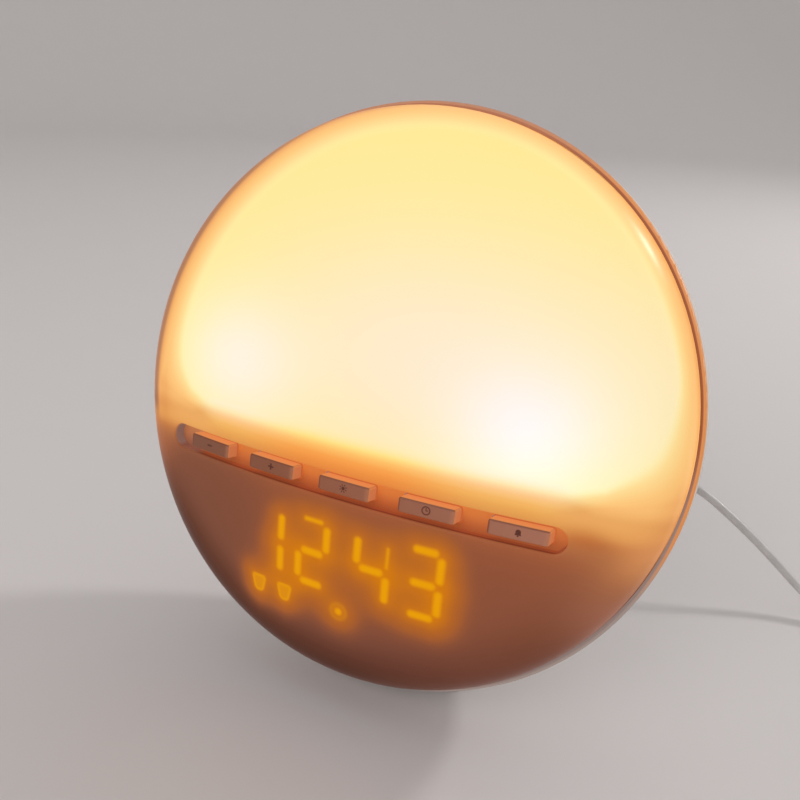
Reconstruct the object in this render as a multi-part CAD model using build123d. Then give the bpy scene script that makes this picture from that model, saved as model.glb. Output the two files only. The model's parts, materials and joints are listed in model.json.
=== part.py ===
"""Sunrise alarm clock: a tilted glowing disc on a hidden foot, as separate pieces.

Most pieces are drawn in the clock's own frame: X to the right, Y back from the lip of the rear
housing, Z up along the disc. stand() then leans them back on the foot. Everything is in mm.
"""

import os
from math import atan2, cos, degrees, pi, radians, sin, sqrt, tan

from build123d import *

# Overall form
CLOCK_R = 85.0            # outer radius of the rear housing's lip
TILT = 15.0               # lean of the disc from upright, degrees
LIP_WALL = 1.55           # the lip that shows as a rim round the cover
LIP_ROUND = 0.6
BELLY_GAP = 1.2           # from the housing's lowest point to the table
FIT = 0.25                # assembly gap between neighbouring mouldings

# Front cover: a shallow dome that rolls over at its edge
DOME_RISE = 26.2          # apex ahead of the lip
DOME_R = 237.3
EDGE_R = 14.6             # radius of the rolled edge
COVER_WALL = 2.2
SKIRT = 5.0               # how far the cover reaches into the housing

# Button recess and its five keys
RECESS_RISE = 61.5        # each rise is from the cover's lowest edge
RECESS_LEFT_INSET = 19.2  # from the cover's edge to each end of the recess
RECESS_RIGHT_INSET = 23.7
RECESS_HIGH = 7.2
RECESS_DROP = 0.2         # its middle below the keys' middles
RECESS_DEPTH = 4.0
RECESS_FLOOR = 1.6
RECESS_SIDE = 1.6
RECESS_ROUND = 0.5
KEY_NAMES = ("minus", "plus", "light", "time", "alarm")
KEY_END_INSET = 35.6      # from the cover's edge to the middle of each end key
KEY_LONG = 15.6
KEY_HIGH = 4.15
KEY_CORNER = 0.8
KEY_ROUND = 0.5           # round along the cap's face
KEY_PROUD = 0.3           # cap above the dome
KEY_GAP = 0.35            # cap to its window
KEY_TRAVEL = 0.5
FLANGE_EDGE = 1.2         # flange beyond the window
FLANGE_THICK = 1.2
FLANGE_GAP = 0.1
STEM_R = 1.6

# Tact switches
SWITCH_SIDE = 6.0
SWITCH_TALL = 3.5
PLUNGER_R = 1.75
PLUNGER_OUT = 1.5
PLUNGER_IN = 1.0
PLUNGER_FIT = 0.06
PLUNGER_SPARE = 0.2       # below a plunger at the end of its travel
SWITCH_LEG = 0.7
SWITCH_CORNER = 0.4

# Circuit boards
BOARD = 1.6
FRONT_BOARD_Y = -3.5      # its front face
KEY_STRIP_SPARE = 10.4    # board beyond the middle of each end key
KEY_STRIP_HIGH = 12.0
DISPLAY_MARGIN = 7.0      # board each side of the display module
DISPLAY_BOARD_RISE = 17.2
MAIN_LONG = 92.0
MAIN_HIGH = 50.0
MAIN_Z = -2.0
MAIN_GAP = 5.4            # reflector tray to main board
BOARD_CORNER = 1.5
POST_INSET = 3.5          # board edge to the middle of a screw
STRIP_POST_INSET = 3.2
LOW_POST_RISE = 4.0
CHIP_TALL = 1.8
CHIP_EDGE = 0.3
CHIPS = ((12.0, 12.0, -14.0, 6.0), (11.0, 11.0, 10.0, 8.0), (10.0, 5.0, 26.0, -8.0),
         (7.0, 5.0, -32.0, 4.0), (6.0, 5.0, -30.0, -12.0))      # wide, high, x, z
CANS = ((4.0, 11.0, 20.0, -19.0), (3.2, 9.0, 31.0, -18.0),
        (2.6, 8.0, -20.0, -19.5), (2.6, 8.0, -12.5, -19.5))     # radius, tall, x, z
CAN_EDGE = 0.4

# Display module
DIGIT_HIGH = 19.0         # between the centre lines of its top and bottom segments
DIGIT_WIDE = 8.9
DIGIT_X = (-23.2, -8.3, 10.2, 24.9)
DIGIT_RISE = 40.5
SEGMENT_WIDE = 2.2
SEGMENT_GAP = 0.5
SEGMENT_DEEP = 2.0
MODULE_LONG = 68.0
MODULE_HIGH = 31.5
MODULE_RISE = 37.0
MODULE_DEEP = 9.5
MODULE_CORNER = 1.0
MARK_RISE = 24.7
MARK_X = (-26.6, -17.4, 0.9)
MARK_R = 1.7

# Reflector tray
TRAY_Y = 2.0
TRAY_THICK = 1.6
TRAY_FIT = 1.0            # its rim to the cover's wall
TRAY_RIM = 4.5
DIVIDER_RISE = 70.7
DIVIDER_THICK = 1.6
DOME_CLEAR = 0.4          # from what stands inside to the cover's inner face
POST_R = 2.6

# Lamps
LAMP_X = 44.3
LAMP_RISE = 17.5          # above the divider
LAMP_BOARD_LONG = 26.0
LAMP_BOARD_HIGH = 18.0
LED_SIDE = 5.0
LED_TALL = 1.6
LED_WELL_R = 1.9
LED_WELL = 0.4
LED_PITCH = 8.0
COLOUR_LED_SIDE = 3.5
COLOUR_LED_X = 24.0
COLOUR_BOARD_LONG = 62.0
COLOUR_BOARD_HIGH = 8.0
COLOUR_LED_DROP = 35.2    # below the cover's highest edge

# Rear housing
HOUSING_DEPTH = 47.0      # lip to flat back
HOUSING_WALL = 2.4
BAND = 7.0                # straight band behind the lip
FOOT_WIDE = 68.0
FOOT_LONG = 50.0
FOOT_CORNER = 12.0
FOOT_TALL = 44.0
FOOT_TAPER = 9.0
FOOT_FRONT = -10.0        # its front edge, from below the lip's centre
PAD_R = 5.5
PAD_OUT = 1.0
PAD_IN = 0.8
PAD_FIT = 0.1
PAD_EDGE = 0.4
PAD_INSET = 9.5

# Housing screws
SCREW_INSET = 11.2        # from the cover's edge
SCREW_ANGLES = (35, 145, 215, 325)
SCREW_R = 1.4
SCREW_HEAD_R = 2.7
SCREW_HEAD = 1.9
SCREW_SEAT = 8.5          # where the screw heads bear
SCREW_LONG = 14.5
BOSS_R = 3.9
COUNTERBORE_R = 3.2
SCREW_CLEAR = 0.3
THREAD_FIT = 0.05
DRIVE_SLOT = 0.7          # width of the slot in a screw's head
DRIVE_DEEP = 1.0

# Loudspeaker
SPEAKER_R = 22.5
SPEAKER_Z = 18.0
SPEAKER_FLANGE = 1.5
SPEAKER_DEEP = 19.0
SPEAKER_WALL = 1.5
BASKET_R = 20.0
BASKET_HOLE_R = 5.0
GASKET = 1.0
MAGNET_R = 13.0
MAGNET_THICK = 7.5
MAGNET_EDGE = 0.5
CONE_R = 18.5
CONE_THICK = 0.8
CONE_DROP = 0.6           # its rim behind the flange's face
SURROUND = 2.0
NECK_R = 6.0
NECK_RISE = 4.0           # cone's neck above the basket's back
CAP_RISE = 2.0
GRILLE_R = 19.0
SLOT_WIDE = 2.0
SLOT_PITCH = 4.0
CLAMP_SCREW_RING = 26.0
CLAMP_ANGLES = (30, 150, 270)
SMALL_SCREW_R = 1.0
SMALL_HEAD_R = 2.2
SMALL_HEAD = 1.4
SMALL_CLEAR = 0.2
SMALL_REACH = 0.5         # a small screw past the tray's front face
CLAMP_HEAD_R = 4.2
CLAMP_SCREW_DEEP = 4.0

# Backup cell bay
DOOR_LONG = 28.0
DOOR_HIGH = 26.0
DOOR_Z = -28.0
DOOR_THICK = 1.5
DOOR_LEDGE = 1.5
DOOR_FIT = 0.2
DOOR_CORNER = 2.0
NOTCH_R = 4.0             # finger notch along the door's top edge
NOTCH_WIDE = 9.0
NOTCH_DEEP = 0.8
NOTCH_IN = 4.0
SNAP_DEEP = 3.0
SNAP_THICK = 1.0
CELL_R = 10.0
CELL_THICK = 3.2
CELL_STEP = 0.6           # height of the cell's narrower pole
CELL_STEP_IN = 1.0
HOLDER_WALL = 1.2
HOLDER_DEEP = 6.6
CONTACT_THICK = 0.3
CONTACT_WIDE = 4.0
CONTACT_LONG = 16.0

# Power inlet and its plug
JACK_INSET = 39.0         # from the lip
JACK_Z = -22.0
JACK_POCKET_R = 7.5
JACK_POCKET = 2.4         # pocket floor ahead of the flat back
JACK_COLLAR_R = 4.2
JACK_BORE_R = 2.85
JACK_LONG = 13.0
JACK_WIDE = 9.0
JACK_HIGH = 10.5
JACK_SPARE = 0.5          # beyond the barrel's end
JACK_PIN_R = 1.0
JACK_PIN_DROP = 1.5
JACK_COLLAR_FIT = 0.1
PLUG_R = 4.6
PLUG_LONG = 17.0
BARREL_R = 2.75
BARREL_LONG = 9.5
BARREL_HOLE_R = 1.05
BARREL_CAP = 1.0
PLUG_ROUND = 1.0
GRIP_GROOVES = 3
GROOVE_START = 4.0        # middle of the first groove from the grip's end
GROOVE_PITCH = 2.4
GROOVE_WIDE = 1.0
GROOVE_DEEP = 0.4
RELIEF_LONG = 12.0
RELIEF_R = 3.2
RELIEF_END_R = 2.1

# Power cord
CORD_D = 3.0
CORD_POINTS = (
    (46.0, 52.9, 46.18), (46.0, 65.94, 42.68), (52.5, 78.0, 40.4), (64.8, 85.6, 39.2),
    (79.0, 86.6, 35.6), (93.5, 84.8, 27.4), (107.5, 83.6, 17.6), (120.5, 80.6, 8.1),
    (133.0, 75.5, 2.5), (146.0, 70.6, 1.5), (158.0, 68.2, 1.5),
)
TAIL_POINTS = ((181.0, 47.0, 4.0), (181.4, 35.0, 4.0), (183.0, 24.0, 4.0))
ARC_SHARE = 0.45          # of the shorter run beside a bend
COIL_X = 160.0
COIL_Y = 46.0
COIL_MIDDLE_R = 16.5
COIL_THICK = 12.0
COIL_LIFT = 0.8
TIE_WIDE = 9.0
TIE_THICK = 0.6
TIE_FIT = 0.05
TIE_ANGLE = 205.0
USB_BODY = (16.0, 28.0, 8.0)     # wide, long, tall
USB_ROUND = 2.5
USB_SHELL = (12.0, 18.8, 4.5)
USB_WALL = 0.4
USB_TONGUE = (10.6, 14.0, 1.6)
USB_TONGUE_FIT = 0.05

# Internal leads
WIRE_R = 0.65
WIRE_BEND = 4.0
WIRE_PAIR = 0.9           # half the distance between two wires through a slot
WIRE_REACH = 2.5          # lamp leads ahead of the tray
WIRE_SLOT_LONG = 6.0
WIRE_SLOT_HIGH = 3.8
WIRE_SLOT_OUT = 2.0       # from a lamp board's end
SPEAKER_WIRE_X = 1.6
SPEAKER_WIRE_Z = 16.0     # where the speaker's wires leave the main board
WIRE_STUB = 5.0
WIRE_RUN = 7.0
RIBBON = 0.8
RIBBON_WIDE = 16.0
RIBBON_CLEAR = 1.0
RIBBON_INSET = 1.5        # from the main board's lower edge, at least

# Places that follow from the sizes above
COVER_R = CLOCK_R - LIP_WALL - FIT
RECESS_Z = RECESS_RISE - COVER_R
RECESS_LONG = 2 * COVER_R - RECESS_LEFT_INSET - RECESS_RIGHT_INSET
RECESS_X = (RECESS_LEFT_INSET - RECESS_RIGHT_INSET) / 2
KEY_X = [(COVER_R - KEY_END_INSET) * share for share in (-1.0, -0.5, 0.0, 0.5, 1.0)]
KEY_STRIP_LONG = KEY_X[-1] - KEY_X[0] + 2 * KEY_STRIP_SPARE
DISPLAY_BOARD_LONG = MODULE_LONG + 2 * DISPLAY_MARGIN
DISPLAY_BOARD_END = DISPLAY_BOARD_RISE - COVER_R
DIGIT_Z = DIGIT_RISE - COVER_R
MODULE_Z = MODULE_RISE - COVER_R
MARK_Z = MARK_RISE - COVER_R
DIVIDER_Z = DIVIDER_RISE - COVER_R
LAMP_Z = DIVIDER_Z + LAMP_RISE
COLOUR_LED_Z = COVER_R - COLOUR_LED_DROP
TRAY_R = COVER_R - COVER_WALL - TRAY_FIT
SCREW_RING = COVER_R - SCREW_INSET
BOWL_R = HOUSING_DEPTH - BAND        # round between the band and the back
JACK_X = CLOCK_R - JACK_INSET
DOME_CY = DOME_R - DOME_RISE
TRAY_BACK = TRAY_Y + TRAY_THICK
MAIN_Y = TRAY_BACK + MAIN_GAP
MAIN_BACK = MAIN_Y + BOARD
RIBBON_Z = max(RECESS_Z, MAIN_Z - MAIN_HIGH / 2 + RIBBON_INSET)
FRONT_BOARD_BACK = FRONT_BOARD_Y + BOARD
INNER_BACK = HOUSING_DEPTH - HOUSING_WALL
LEAN = radians(TILT)
CENTRE_Z = (CLOCK_R - BOWL_R) * cos(LEAN) + BAND * sin(LEAN) + BOWL_R + BELLY_GAP
FRONT_REACH = DOME_R - DOME_CY * cos(LEAN)
BACK_REACH = BAND * cos(LEAN) + (CLOCK_R - BOWL_R) * sin(LEAN) + BOWL_R
CENTRE_Y = (FRONT_REACH - BACK_REACH) / 2
SWITCH_FRONT = FRONT_BOARD_Y - SWITCH_TALL
PLUNGER_TOP = SWITCH_FRONT - PLUNGER_OUT
JACK_FLOOR = HOUSING_DEPTH - JACK_POCKET
SPEAKER_FRONT = INNER_BACK - GASKET
FLANGE_BACK = SPEAKER_FRONT - SPEAKER_FLANGE
SPEAKER_END = SPEAKER_FRONT - SPEAKER_DEEP
BASKET_END = SPEAKER_END + MAGNET_THICK
COIL_CORNER = COIL_THICK / 3
CENTRE = Align.CENTER
FROM = Align.MIN


# Helpers: everything here is drawn in the disc's frame, with depth along +Y

def stand(shape):
    """Lean a piece from the disc's frame back on the table."""
    return Pos(0, CENTRE_Y, CENTRE_Z) * Rot(-TILT, 0, 0) * shape


def rod(radius, y_from, y_to, x=0.0, z=0.0):
    """Cylinder along Y."""
    return Pos(x, (y_from + y_to) / 2, z) * Rot(90, 0, 0) * Cylinder(radius, y_to - y_from)


def block(wide, high, y_from, y_to, x=0.0, z=0.0):
    """Box centred on x and z, from one depth to another."""
    return Pos(x, y_from, z) * Box(wide, y_to - y_from, high, align=(CENTRE, FROM, CENTRE))


def slab(outline, y_from, y_to):
    """A sketch seen from the front, pushed back from one depth to another."""
    return extrude(Pos(0, y_from, 0) * (Plane.XZ * outline), amount=y_to - y_from, dir=(0, 1, 0))


def turned(*points):
    """Revolve a closed outline of (radius, depth) points about the disc's axis."""
    return revolve(make_face(Polyline(*points, close=True)), Axis.Y, 360)


def on_ring(radius, angles):
    """Points (x, z) on a circle about the disc's axis."""
    return [(radius * cos(radians(a)), radius * sin(radians(a))) for a in angles]


def ball(inset):
    """The dome's sphere, set in from its outside."""
    return Pos(0, DOME_CY, 0) * Sphere(DOME_R - inset)


def dome_depth(inset, x, z):
    """Depth of the dome's sphere, set in, at a place seen from the front."""
    return DOME_CY - sqrt((DOME_R - inset) ** 2 - x * x - z * z)


def dome_body(inset, back):
    """The whole dome with its rolled edge, set in from its outside, filled back to a depth."""
    big, small = DOME_R - inset, EDGE_R - inset
    knee_r = COVER_R - EDGE_R
    knee_y = DOME_CY - sqrt((DOME_R - EDGE_R) ** 2 - knee_r ** 2)
    turn = atan2(knee_r, DOME_CY - knee_y)

    def on_big(angle):
        return (big * sin(angle), DOME_CY - big * cos(angle))

    def on_small(angle):
        return (knee_r + small * sin(angle), knee_y - small * cos(angle))

    side = on_small(pi / 2)
    outline = ThreePointArc(on_big(0), on_big(turn / 2), on_big(turn))
    outline += ThreePointArc(on_big(turn), on_small((turn + pi / 2) / 2), side)
    outline += Polyline(side, (side[0], back), (0, back), on_big(0))
    return revolve(make_face(outline), Axis.Y, 360)


def bowl_body(inset, front):
    """The rear housing's bowl, set in from its outside, filled forward to a depth."""
    radius = BOWL_R - inset
    corner = (CLOCK_R - BOWL_R, BAND)
    start = (corner[0] + radius, corner[1])
    middle = (corner[0] + radius * cos(pi / 4), corner[1] + radius * sin(pi / 4))
    end = (corner[0], corner[1] + radius)
    outline = Line((start[0], front), start) + ThreePointArc(start, middle, end)
    outline += Polyline(end, (0, end[1]), (0, front), (start[0], front))
    return revolve(make_face(outline), Axis.Y, 360)


# Front cover

def recess_outline(grow=0.0):
    """Long slot with round ends, seen from the front."""
    middle = Pos(RECESS_X, RECESS_Z - RECESS_DROP)
    return middle * SlotOverall(RECESS_LONG + 2 * grow, RECESS_HIGH + 2 * grow)


def key_outline(x, grow):
    """Rounded rectangle of one key, grown or shrunk."""
    wide, high = KEY_LONG + 2 * grow, KEY_HIGH + 2 * grow
    return Pos(x, RECESS_Z) * RectangleRounded(wide, high, KEY_CORNER + max(grow, 0.0))


def front_cover():
    """Domed shell with the button recess, its windows and four screw bosses."""
    ahead = -DOME_RISE - KEY_PROUD
    shell = dome_body(0, SKIRT) - dome_body(COVER_WALL, SKIRT + 1)
    trough = slab(recess_outline(RECESS_SIDE), ahead, 0) & dome_body(0, 0)
    shell += trough - ball(RECESS_DEPTH + RECESS_FLOOR)
    shell -= slab(recess_outline(), ahead, 0) - ball(RECESS_DEPTH)
    for x in KEY_X:
        shell -= slab(key_outline(x, KEY_GAP), ahead, 0)
    solid_dome = dome_body(COVER_WALL / 2, TRAY_Y)
    for x, z in on_ring(SCREW_RING, SCREW_ANGLES):
        shell += rod(BOSS_R, -DOME_RISE, TRAY_Y, x, z) & solid_dome
        shell -= rod(SCREW_R + THREAD_FIT, SCREW_SEAT - SCREW_LONG - 1, TRAY_Y, x, z)
    lip = [e for e in shell.edges() if on_recess_lip(e)]
    return fillet(lip, RECESS_ROUND)


def on_recess_lip(edge):
    """True for the edges where the recess meets the outside of the dome."""
    for p in [edge @ t for t in (0.0, 0.5, 1.0)]:
        off_x, off_z = abs(p.X - RECESS_X), abs(p.Z - RECESS_Z + RECESS_DROP)
        if abs(p.Y - dome_depth(0, p.X, p.Z)) > 0.01:
            return False
        if off_x > RECESS_LONG / 2 + 0.1 or off_z > RECESS_HIGH / 2 + 0.1:
            return False
    return True


# Keys

def key_cap(x):
    """Cap in its window, flange behind the recess floor, and stem down to the switch."""
    floor_in = RECESS_DEPTH + RECESS_FLOOR + FLANGE_GAP
    ahead = -DOME_RISE - 2 * KEY_PROUD
    cap = slab(key_outline(x, 0.0), ahead, 0) & ball(-KEY_PROUD)
    cap -= ball(floor_in + FLANGE_THICK)
    rim = [e for e in cap.edges() if all(on_cap_face(e @ t) for t in (0.0, 0.5, 1.0))]
    cap = fillet(rim, KEY_ROUND)
    flange = slab(key_outline(x, KEY_GAP + FLANGE_EDGE), ahead, 0) & ball(floor_in)
    flange -= ball(floor_in + FLANGE_THICK)
    stem_top = dome_depth(floor_in + FLANGE_THICK / 2, x, RECESS_Z)
    return cap + flange + rod(STEM_R, stem_top, PLUNGER_TOP, x, RECESS_Z)


def on_cap_face(p):
    """True for a point on the cap's domed face."""
    return abs(p.Y - dome_depth(-KEY_PROUD, p.X, p.Z)) < 0.01


def plunger(x):
    """The moving pin of one tact switch."""
    return rod(PLUNGER_R, PLUNGER_TOP, SWITCH_FRONT + PLUNGER_IN, x, RECESS_Z)


def tact_switches():
    """Five square switch bodies, each with a well for its plunger and four legs."""
    bodies = []
    for x in KEY_X:
        body = block(SWITCH_SIDE, SWITCH_SIDE, SWITCH_FRONT, FRONT_BOARD_Y, x, RECESS_Z)
        body = chamfer(body.edges().filter_by(Axis.Y), SWITCH_CORNER)
        well = SWITCH_FRONT + PLUNGER_IN + KEY_TRAVEL + PLUNGER_SPARE
        body -= rod(PLUNGER_R + PLUNGER_FIT, SWITCH_FRONT - 1, well, x, RECESS_Z)
        for side_x in (-1, 1):
            for side_z in (-1, 1):
                leg_x = x + side_x * (SWITCH_SIDE + SWITCH_LEG) / 2
                leg_z = RECESS_Z + side_z * SWITCH_SIDE / 3
                body += block(SWITCH_LEG, SWITCH_LEG, SWITCH_FRONT + 1, FRONT_BOARD_Y, leg_x, leg_z)
        bodies.append(body)
    return bodies


# Front board and display

def front_board_outline():
    """Wide strip behind the keys with a deeper middle for the display."""
    strip = Pos(0, RECESS_Z) * RectangleRounded(KEY_STRIP_LONG, KEY_STRIP_HIGH, BOARD_CORNER)
    tall = RECESS_Z - DISPLAY_BOARD_END
    middle = Pos(0, RECESS_Z - tall / 2) * Rectangle(DISPLAY_BOARD_LONG, tall)
    return strip + middle


def board_posts():
    """Places (x, z) of the screws that hold the front board."""
    edge = DISPLAY_BOARD_LONG / 2 - POST_INSET
    strip_edge = KEY_STRIP_LONG / 2 - STRIP_POST_INSET
    low = DISPLAY_BOARD_END + LOW_POST_RISE
    return [(-edge, low), (edge, low), (-strip_edge, RECESS_Z), (strip_edge, RECESS_Z)]


def front_board():
    """Circuit board that carries the switches and the display."""
    board = slab(front_board_outline(), FRONT_BOARD_Y, FRONT_BOARD_BACK)
    for x, z in board_posts():
        board -= rod(SMALL_SCREW_R + SMALL_CLEAR, FRONT_BOARD_Y - 1, FRONT_BOARD_BACK + 1, x, z)
    return board


def segment_bar(x, z, upright):
    """One pointed segment of a digit, as a sketch seen from the front."""
    half = DIGIT_HIGH / 4 - SEGMENT_GAP / 2 if upright else DIGIT_WIDE / 2 - SEGMENT_GAP / 2
    tip = SEGMENT_WIDE / 2
    points = [(-half, 0), (tip - half, tip), (half - tip, tip),
              (half, 0), (half - tip, -tip), (tip - half, -tip)]
    bar = make_face(Polyline(*points, close=True))
    return Pos(x, z) * Rot(0, 0, 90 if upright else 0) * bar


def digit_segments(x):
    """The seven segments of one digit."""
    bars = [segment_bar(x, DIGIT_Z + level * DIGIT_HIGH / 2, False) for level in (-1, 0, 1)]
    for side in (-1, 1):
        for level in (-1, 1):
            place = (x + side * DIGIT_WIDE / 2, DIGIT_Z + level * DIGIT_HIGH / 4)
            bars.append(segment_bar(*place, True))
    return bars


def display_marks():
    """Round windows of the small marks under the digits."""
    return [Pos(x, MARK_Z) * Circle(MARK_R) for x in MARK_X]


def display_bars():
    """Every window of the display, as sketches seen from the front."""
    bars = [bar for x in DIGIT_X for bar in digit_segments(x)]
    return bars + display_marks()


def display_segments():
    """Diffusing inserts that fill the front of the display's windows."""
    front = FRONT_BOARD_Y - MODULE_DEEP
    return [slab(bar, front, front + SEGMENT_DEEP) for bar in display_bars()]


def display_module():
    """Opaque block with a window for each segment."""
    front = FRONT_BOARD_Y - MODULE_DEEP
    body = block(MODULE_LONG, MODULE_HIGH, front, FRONT_BOARD_Y, 0, MODULE_Z)
    body = chamfer(body.edges().filter_by(Axis.Y), MODULE_CORNER)
    for bar in display_bars():
        body -= slab(bar, front - 1, front + SEGMENT_DEEP)
    return body


# Reflector tray and lamps

def lamp_places():
    """Centres (x, z) of the two white lamp clusters."""
    return [(-LAMP_X, LAMP_Z), (LAMP_X, LAMP_Z)]


def wire_holes():
    """Places (x, z) where the lamp leads pass through the tray."""
    inward = LAMP_BOARD_LONG / 2 + WIRE_SLOT_OUT
    return [(-LAMP_X + inward, LAMP_Z), (LAMP_X - inward, LAMP_Z)]


def reflector_tray():
    """White tray that backs the glow, with the wall that keeps it off the display."""
    tray = rod(TRAY_R, TRAY_Y, TRAY_BACK)
    rim = rod(TRAY_R, TRAY_Y - TRAY_RIM, TRAY_Y) - rod(TRAY_R - TRAY_THICK, -DOME_RISE, TRAY_Y)
    wall = block(2 * TRAY_R, DIVIDER_THICK, -DOME_RISE, TRAY_Y, 0, DIVIDER_Z)
    tray += rim + (wall & dome_body(COVER_WALL + DOME_CLEAR, TRAY_Y))
    for x, z in on_ring(SCREW_RING, SCREW_ANGLES):
        tray -= rod(BOSS_R + FIT, -DOME_RISE, TRAY_Y, x, z)
        tray -= rod(SCREW_R + SCREW_CLEAR, -DOME_RISE, TRAY_BACK, x, z)
    for x, z in board_posts():
        tray += rod(POST_R, FRONT_BOARD_BACK, TRAY_Y, x, z)
        tray -= rod(SMALL_SCREW_R + THREAD_FIT, FRONT_BOARD_BACK, TRAY_BACK, x, z)
    for x, z in main_posts():
        tray += rod(POST_R, TRAY_BACK, MAIN_Y, x, z)
        tray -= rod(SMALL_SCREW_R + THREAD_FIT, TRAY_BACK - TRAY_THICK / 2, MAIN_Y, x, z)
    for x, z in wire_holes():
        tray -= slab(Pos(x, z) * SlotOverall(WIRE_SLOT_LONG, WIRE_SLOT_HIGH), TRAY_Y, TRAY_BACK)
    tray -= block(RIBBON_WIDE + 2 * RIBBON_CLEAR, RIBBON + 2 * RIBBON_CLEAR, TRAY_Y, TRAY_BACK, 0, RIBBON_Z)
    return tray


def light_boards():
    """Two lamp boards beside the divider and one strip of colour lamps above."""
    y_from = TRAY_Y - BOARD
    boards = [block(LAMP_BOARD_LONG, LAMP_BOARD_HIGH, y_from, TRAY_Y, x, z) for x, z in lamp_places()]
    boards.append(block(COLOUR_BOARD_LONG, COLOUR_BOARD_HIGH, y_from, TRAY_Y, 0, COLOUR_LED_Z))
    return [chamfer(b.edges().filter_by(Axis.Y), BOARD_CORNER) for b in boards]


def white_leds():
    """Two rows of three white lamps on each lamp board."""
    back = TRAY_Y - BOARD
    front = back - LED_TALL
    leds = []
    for x, z in lamp_places():
        for i in (-1, 0, 1):
            for j in (-0.5, 0.5):
                place = (x + i * LED_PITCH, z + j * LED_PITCH)
                well = rod(LED_WELL_R, front - 1, front + LED_WELL, *place)
                leds.append(block(LED_SIDE, LED_SIDE, front, back, *place) - well)
    return leds


def colour_leds():
    """A row of three colour lamps high in the tray."""
    top = TRAY_Y - BOARD
    side = COLOUR_LED_SIDE
    return [block(side, side, top - LED_TALL, top, i * COLOUR_LED_X, COLOUR_LED_Z) for i in (-1, 0, 1)]


# Main board

def main_posts():
    """Places (x, z) of the screws that hold the main board."""
    x, z = MAIN_LONG / 2 - POST_INSET, MAIN_HIGH / 2 - POST_INSET
    return [(sx * x, MAIN_Z + sz * z) for sx in (-1, 1) for sz in (-1, 1)]


def main_board():
    """Board with the clock, radio and lamp driver, behind the tray."""
    board = block(MAIN_LONG, MAIN_HIGH, MAIN_Y, MAIN_BACK, 0, MAIN_Z)
    board = chamfer(board.edges().filter_by(Axis.Y), BOARD_CORNER)
    for x, z in main_posts():
        board -= rod(SMALL_SCREW_R + SMALL_CLEAR, MAIN_Y - 1, MAIN_BACK + 1, x, z)
    return board


def board_screws():
    """Eight small screws: four through the front board and four through the main board."""
    screws = []
    for x, z in board_posts():
        head = rod(SMALL_HEAD_R, FRONT_BOARD_Y - SMALL_HEAD, FRONT_BOARD_Y, x, z)
        screws.append(head + rod(SMALL_SCREW_R, FRONT_BOARD_Y, TRAY_Y + SMALL_REACH, x, z))
    for x, z in main_posts():
        head = rod(SMALL_HEAD_R, MAIN_BACK, MAIN_BACK + SMALL_HEAD, x, z)
        screws.append(head + rod(SMALL_SCREW_R, TRAY_BACK, MAIN_BACK, x, z))
    return screws


def main_board_chips():
    """Controller, radio and amplifier packages."""
    top = MAIN_BACK + CHIP_TALL
    chips = [block(wide, high, MAIN_BACK, top, x, z) for wide, high, x, z in CHIPS]
    return [chamfer(chip.edges().group_by(Axis.Y)[-1], CHIP_EDGE) for chip in chips]


def capacitors():
    """Standing capacitors along the lower edge of the main board."""
    cans = [rod(radius, MAIN_BACK, MAIN_BACK + tall, x, z) for radius, tall, x, z in CANS]
    return [chamfer(can.edges().group_by(Axis.Y)[-1], CAN_EDGE) for can in cans]


def display_ribbon():
    """Flat cable from the front board through the tray to the main board."""
    return block(RIBBON_WIDE, RIBBON, FRONT_BOARD_BACK, MAIN_Y, 0, RIBBON_Z)


# Loudspeaker

def around_speaker(shape):
    """Move a turned piece from the disc's axis to the speaker's."""
    return Pos(0, 0, SPEAKER_Z) * shape


def speaker_frame():
    """Pressed basket: flange, tapered wall and back plate with a hole for the coil."""
    floor = BASKET_END + SPEAKER_WALL
    inner_r = CONE_R + THREAD_FIT
    return around_speaker(turned(
        (SPEAKER_R, SPEAKER_FRONT), (SPEAKER_R, FLANGE_BACK), (BASKET_R, FLANGE_BACK),
        (MAGNET_R, BASKET_END), (BASKET_HOLE_R, BASKET_END), (BASKET_HOLE_R, floor),
        (MAGNET_R - SPEAKER_WALL / 3, floor), (inner_r, FLANGE_BACK), (inner_r, SPEAKER_FRONT)))


def speaker_cone():
    """Paper cone with its surround and dust cap."""
    rim_y = SPEAKER_FRONT - CONE_DROP
    neck_y = BASKET_END + NECK_RISE
    cone_r = CONE_R - SURROUND
    return around_speaker(turned(
        (CONE_R, rim_y), (CONE_R, rim_y - CONE_THICK), (cone_r, rim_y - CONE_THICK),
        (NECK_R, neck_y), (0, neck_y), (0, neck_y + CONE_THICK + CAP_RISE),
        (NECK_R / 2, neck_y + CONE_THICK + 0.75 * CAP_RISE), (NECK_R, neck_y + 1.5 * CONE_THICK),
        (cone_r - CONE_THICK / 2, rim_y)))


def speaker_magnet():
    """Ring magnet with its end plate."""
    magnet = rod(MAGNET_R, SPEAKER_END, BASKET_END)
    return around_speaker(chamfer(magnet.edges(), MAGNET_EDGE))


def speaker_gasket():
    """Foam ring between the speaker and the inside of the grille."""
    return around_speaker(rod(SPEAKER_R, SPEAKER_FRONT, INNER_BACK)
                          - rod(CONE_R + GASKET, SPEAKER_FRONT - 1, INNER_BACK + 1))


def speaker_screws():
    """Three screws whose heads clamp the speaker's flange."""
    screws = []
    for x, z in on_ring(CLAMP_SCREW_RING, CLAMP_ANGLES):
        place = (x, z + SPEAKER_Z)
        head = rod(CLAMP_HEAD_R, FLANGE_BACK - SMALL_HEAD, FLANGE_BACK, *place)
        screws.append(head + rod(SMALL_SCREW_R, FLANGE_BACK, FLANGE_BACK + CLAMP_SCREW_DEEP, *place))
    return screws


# Backup cell

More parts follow.
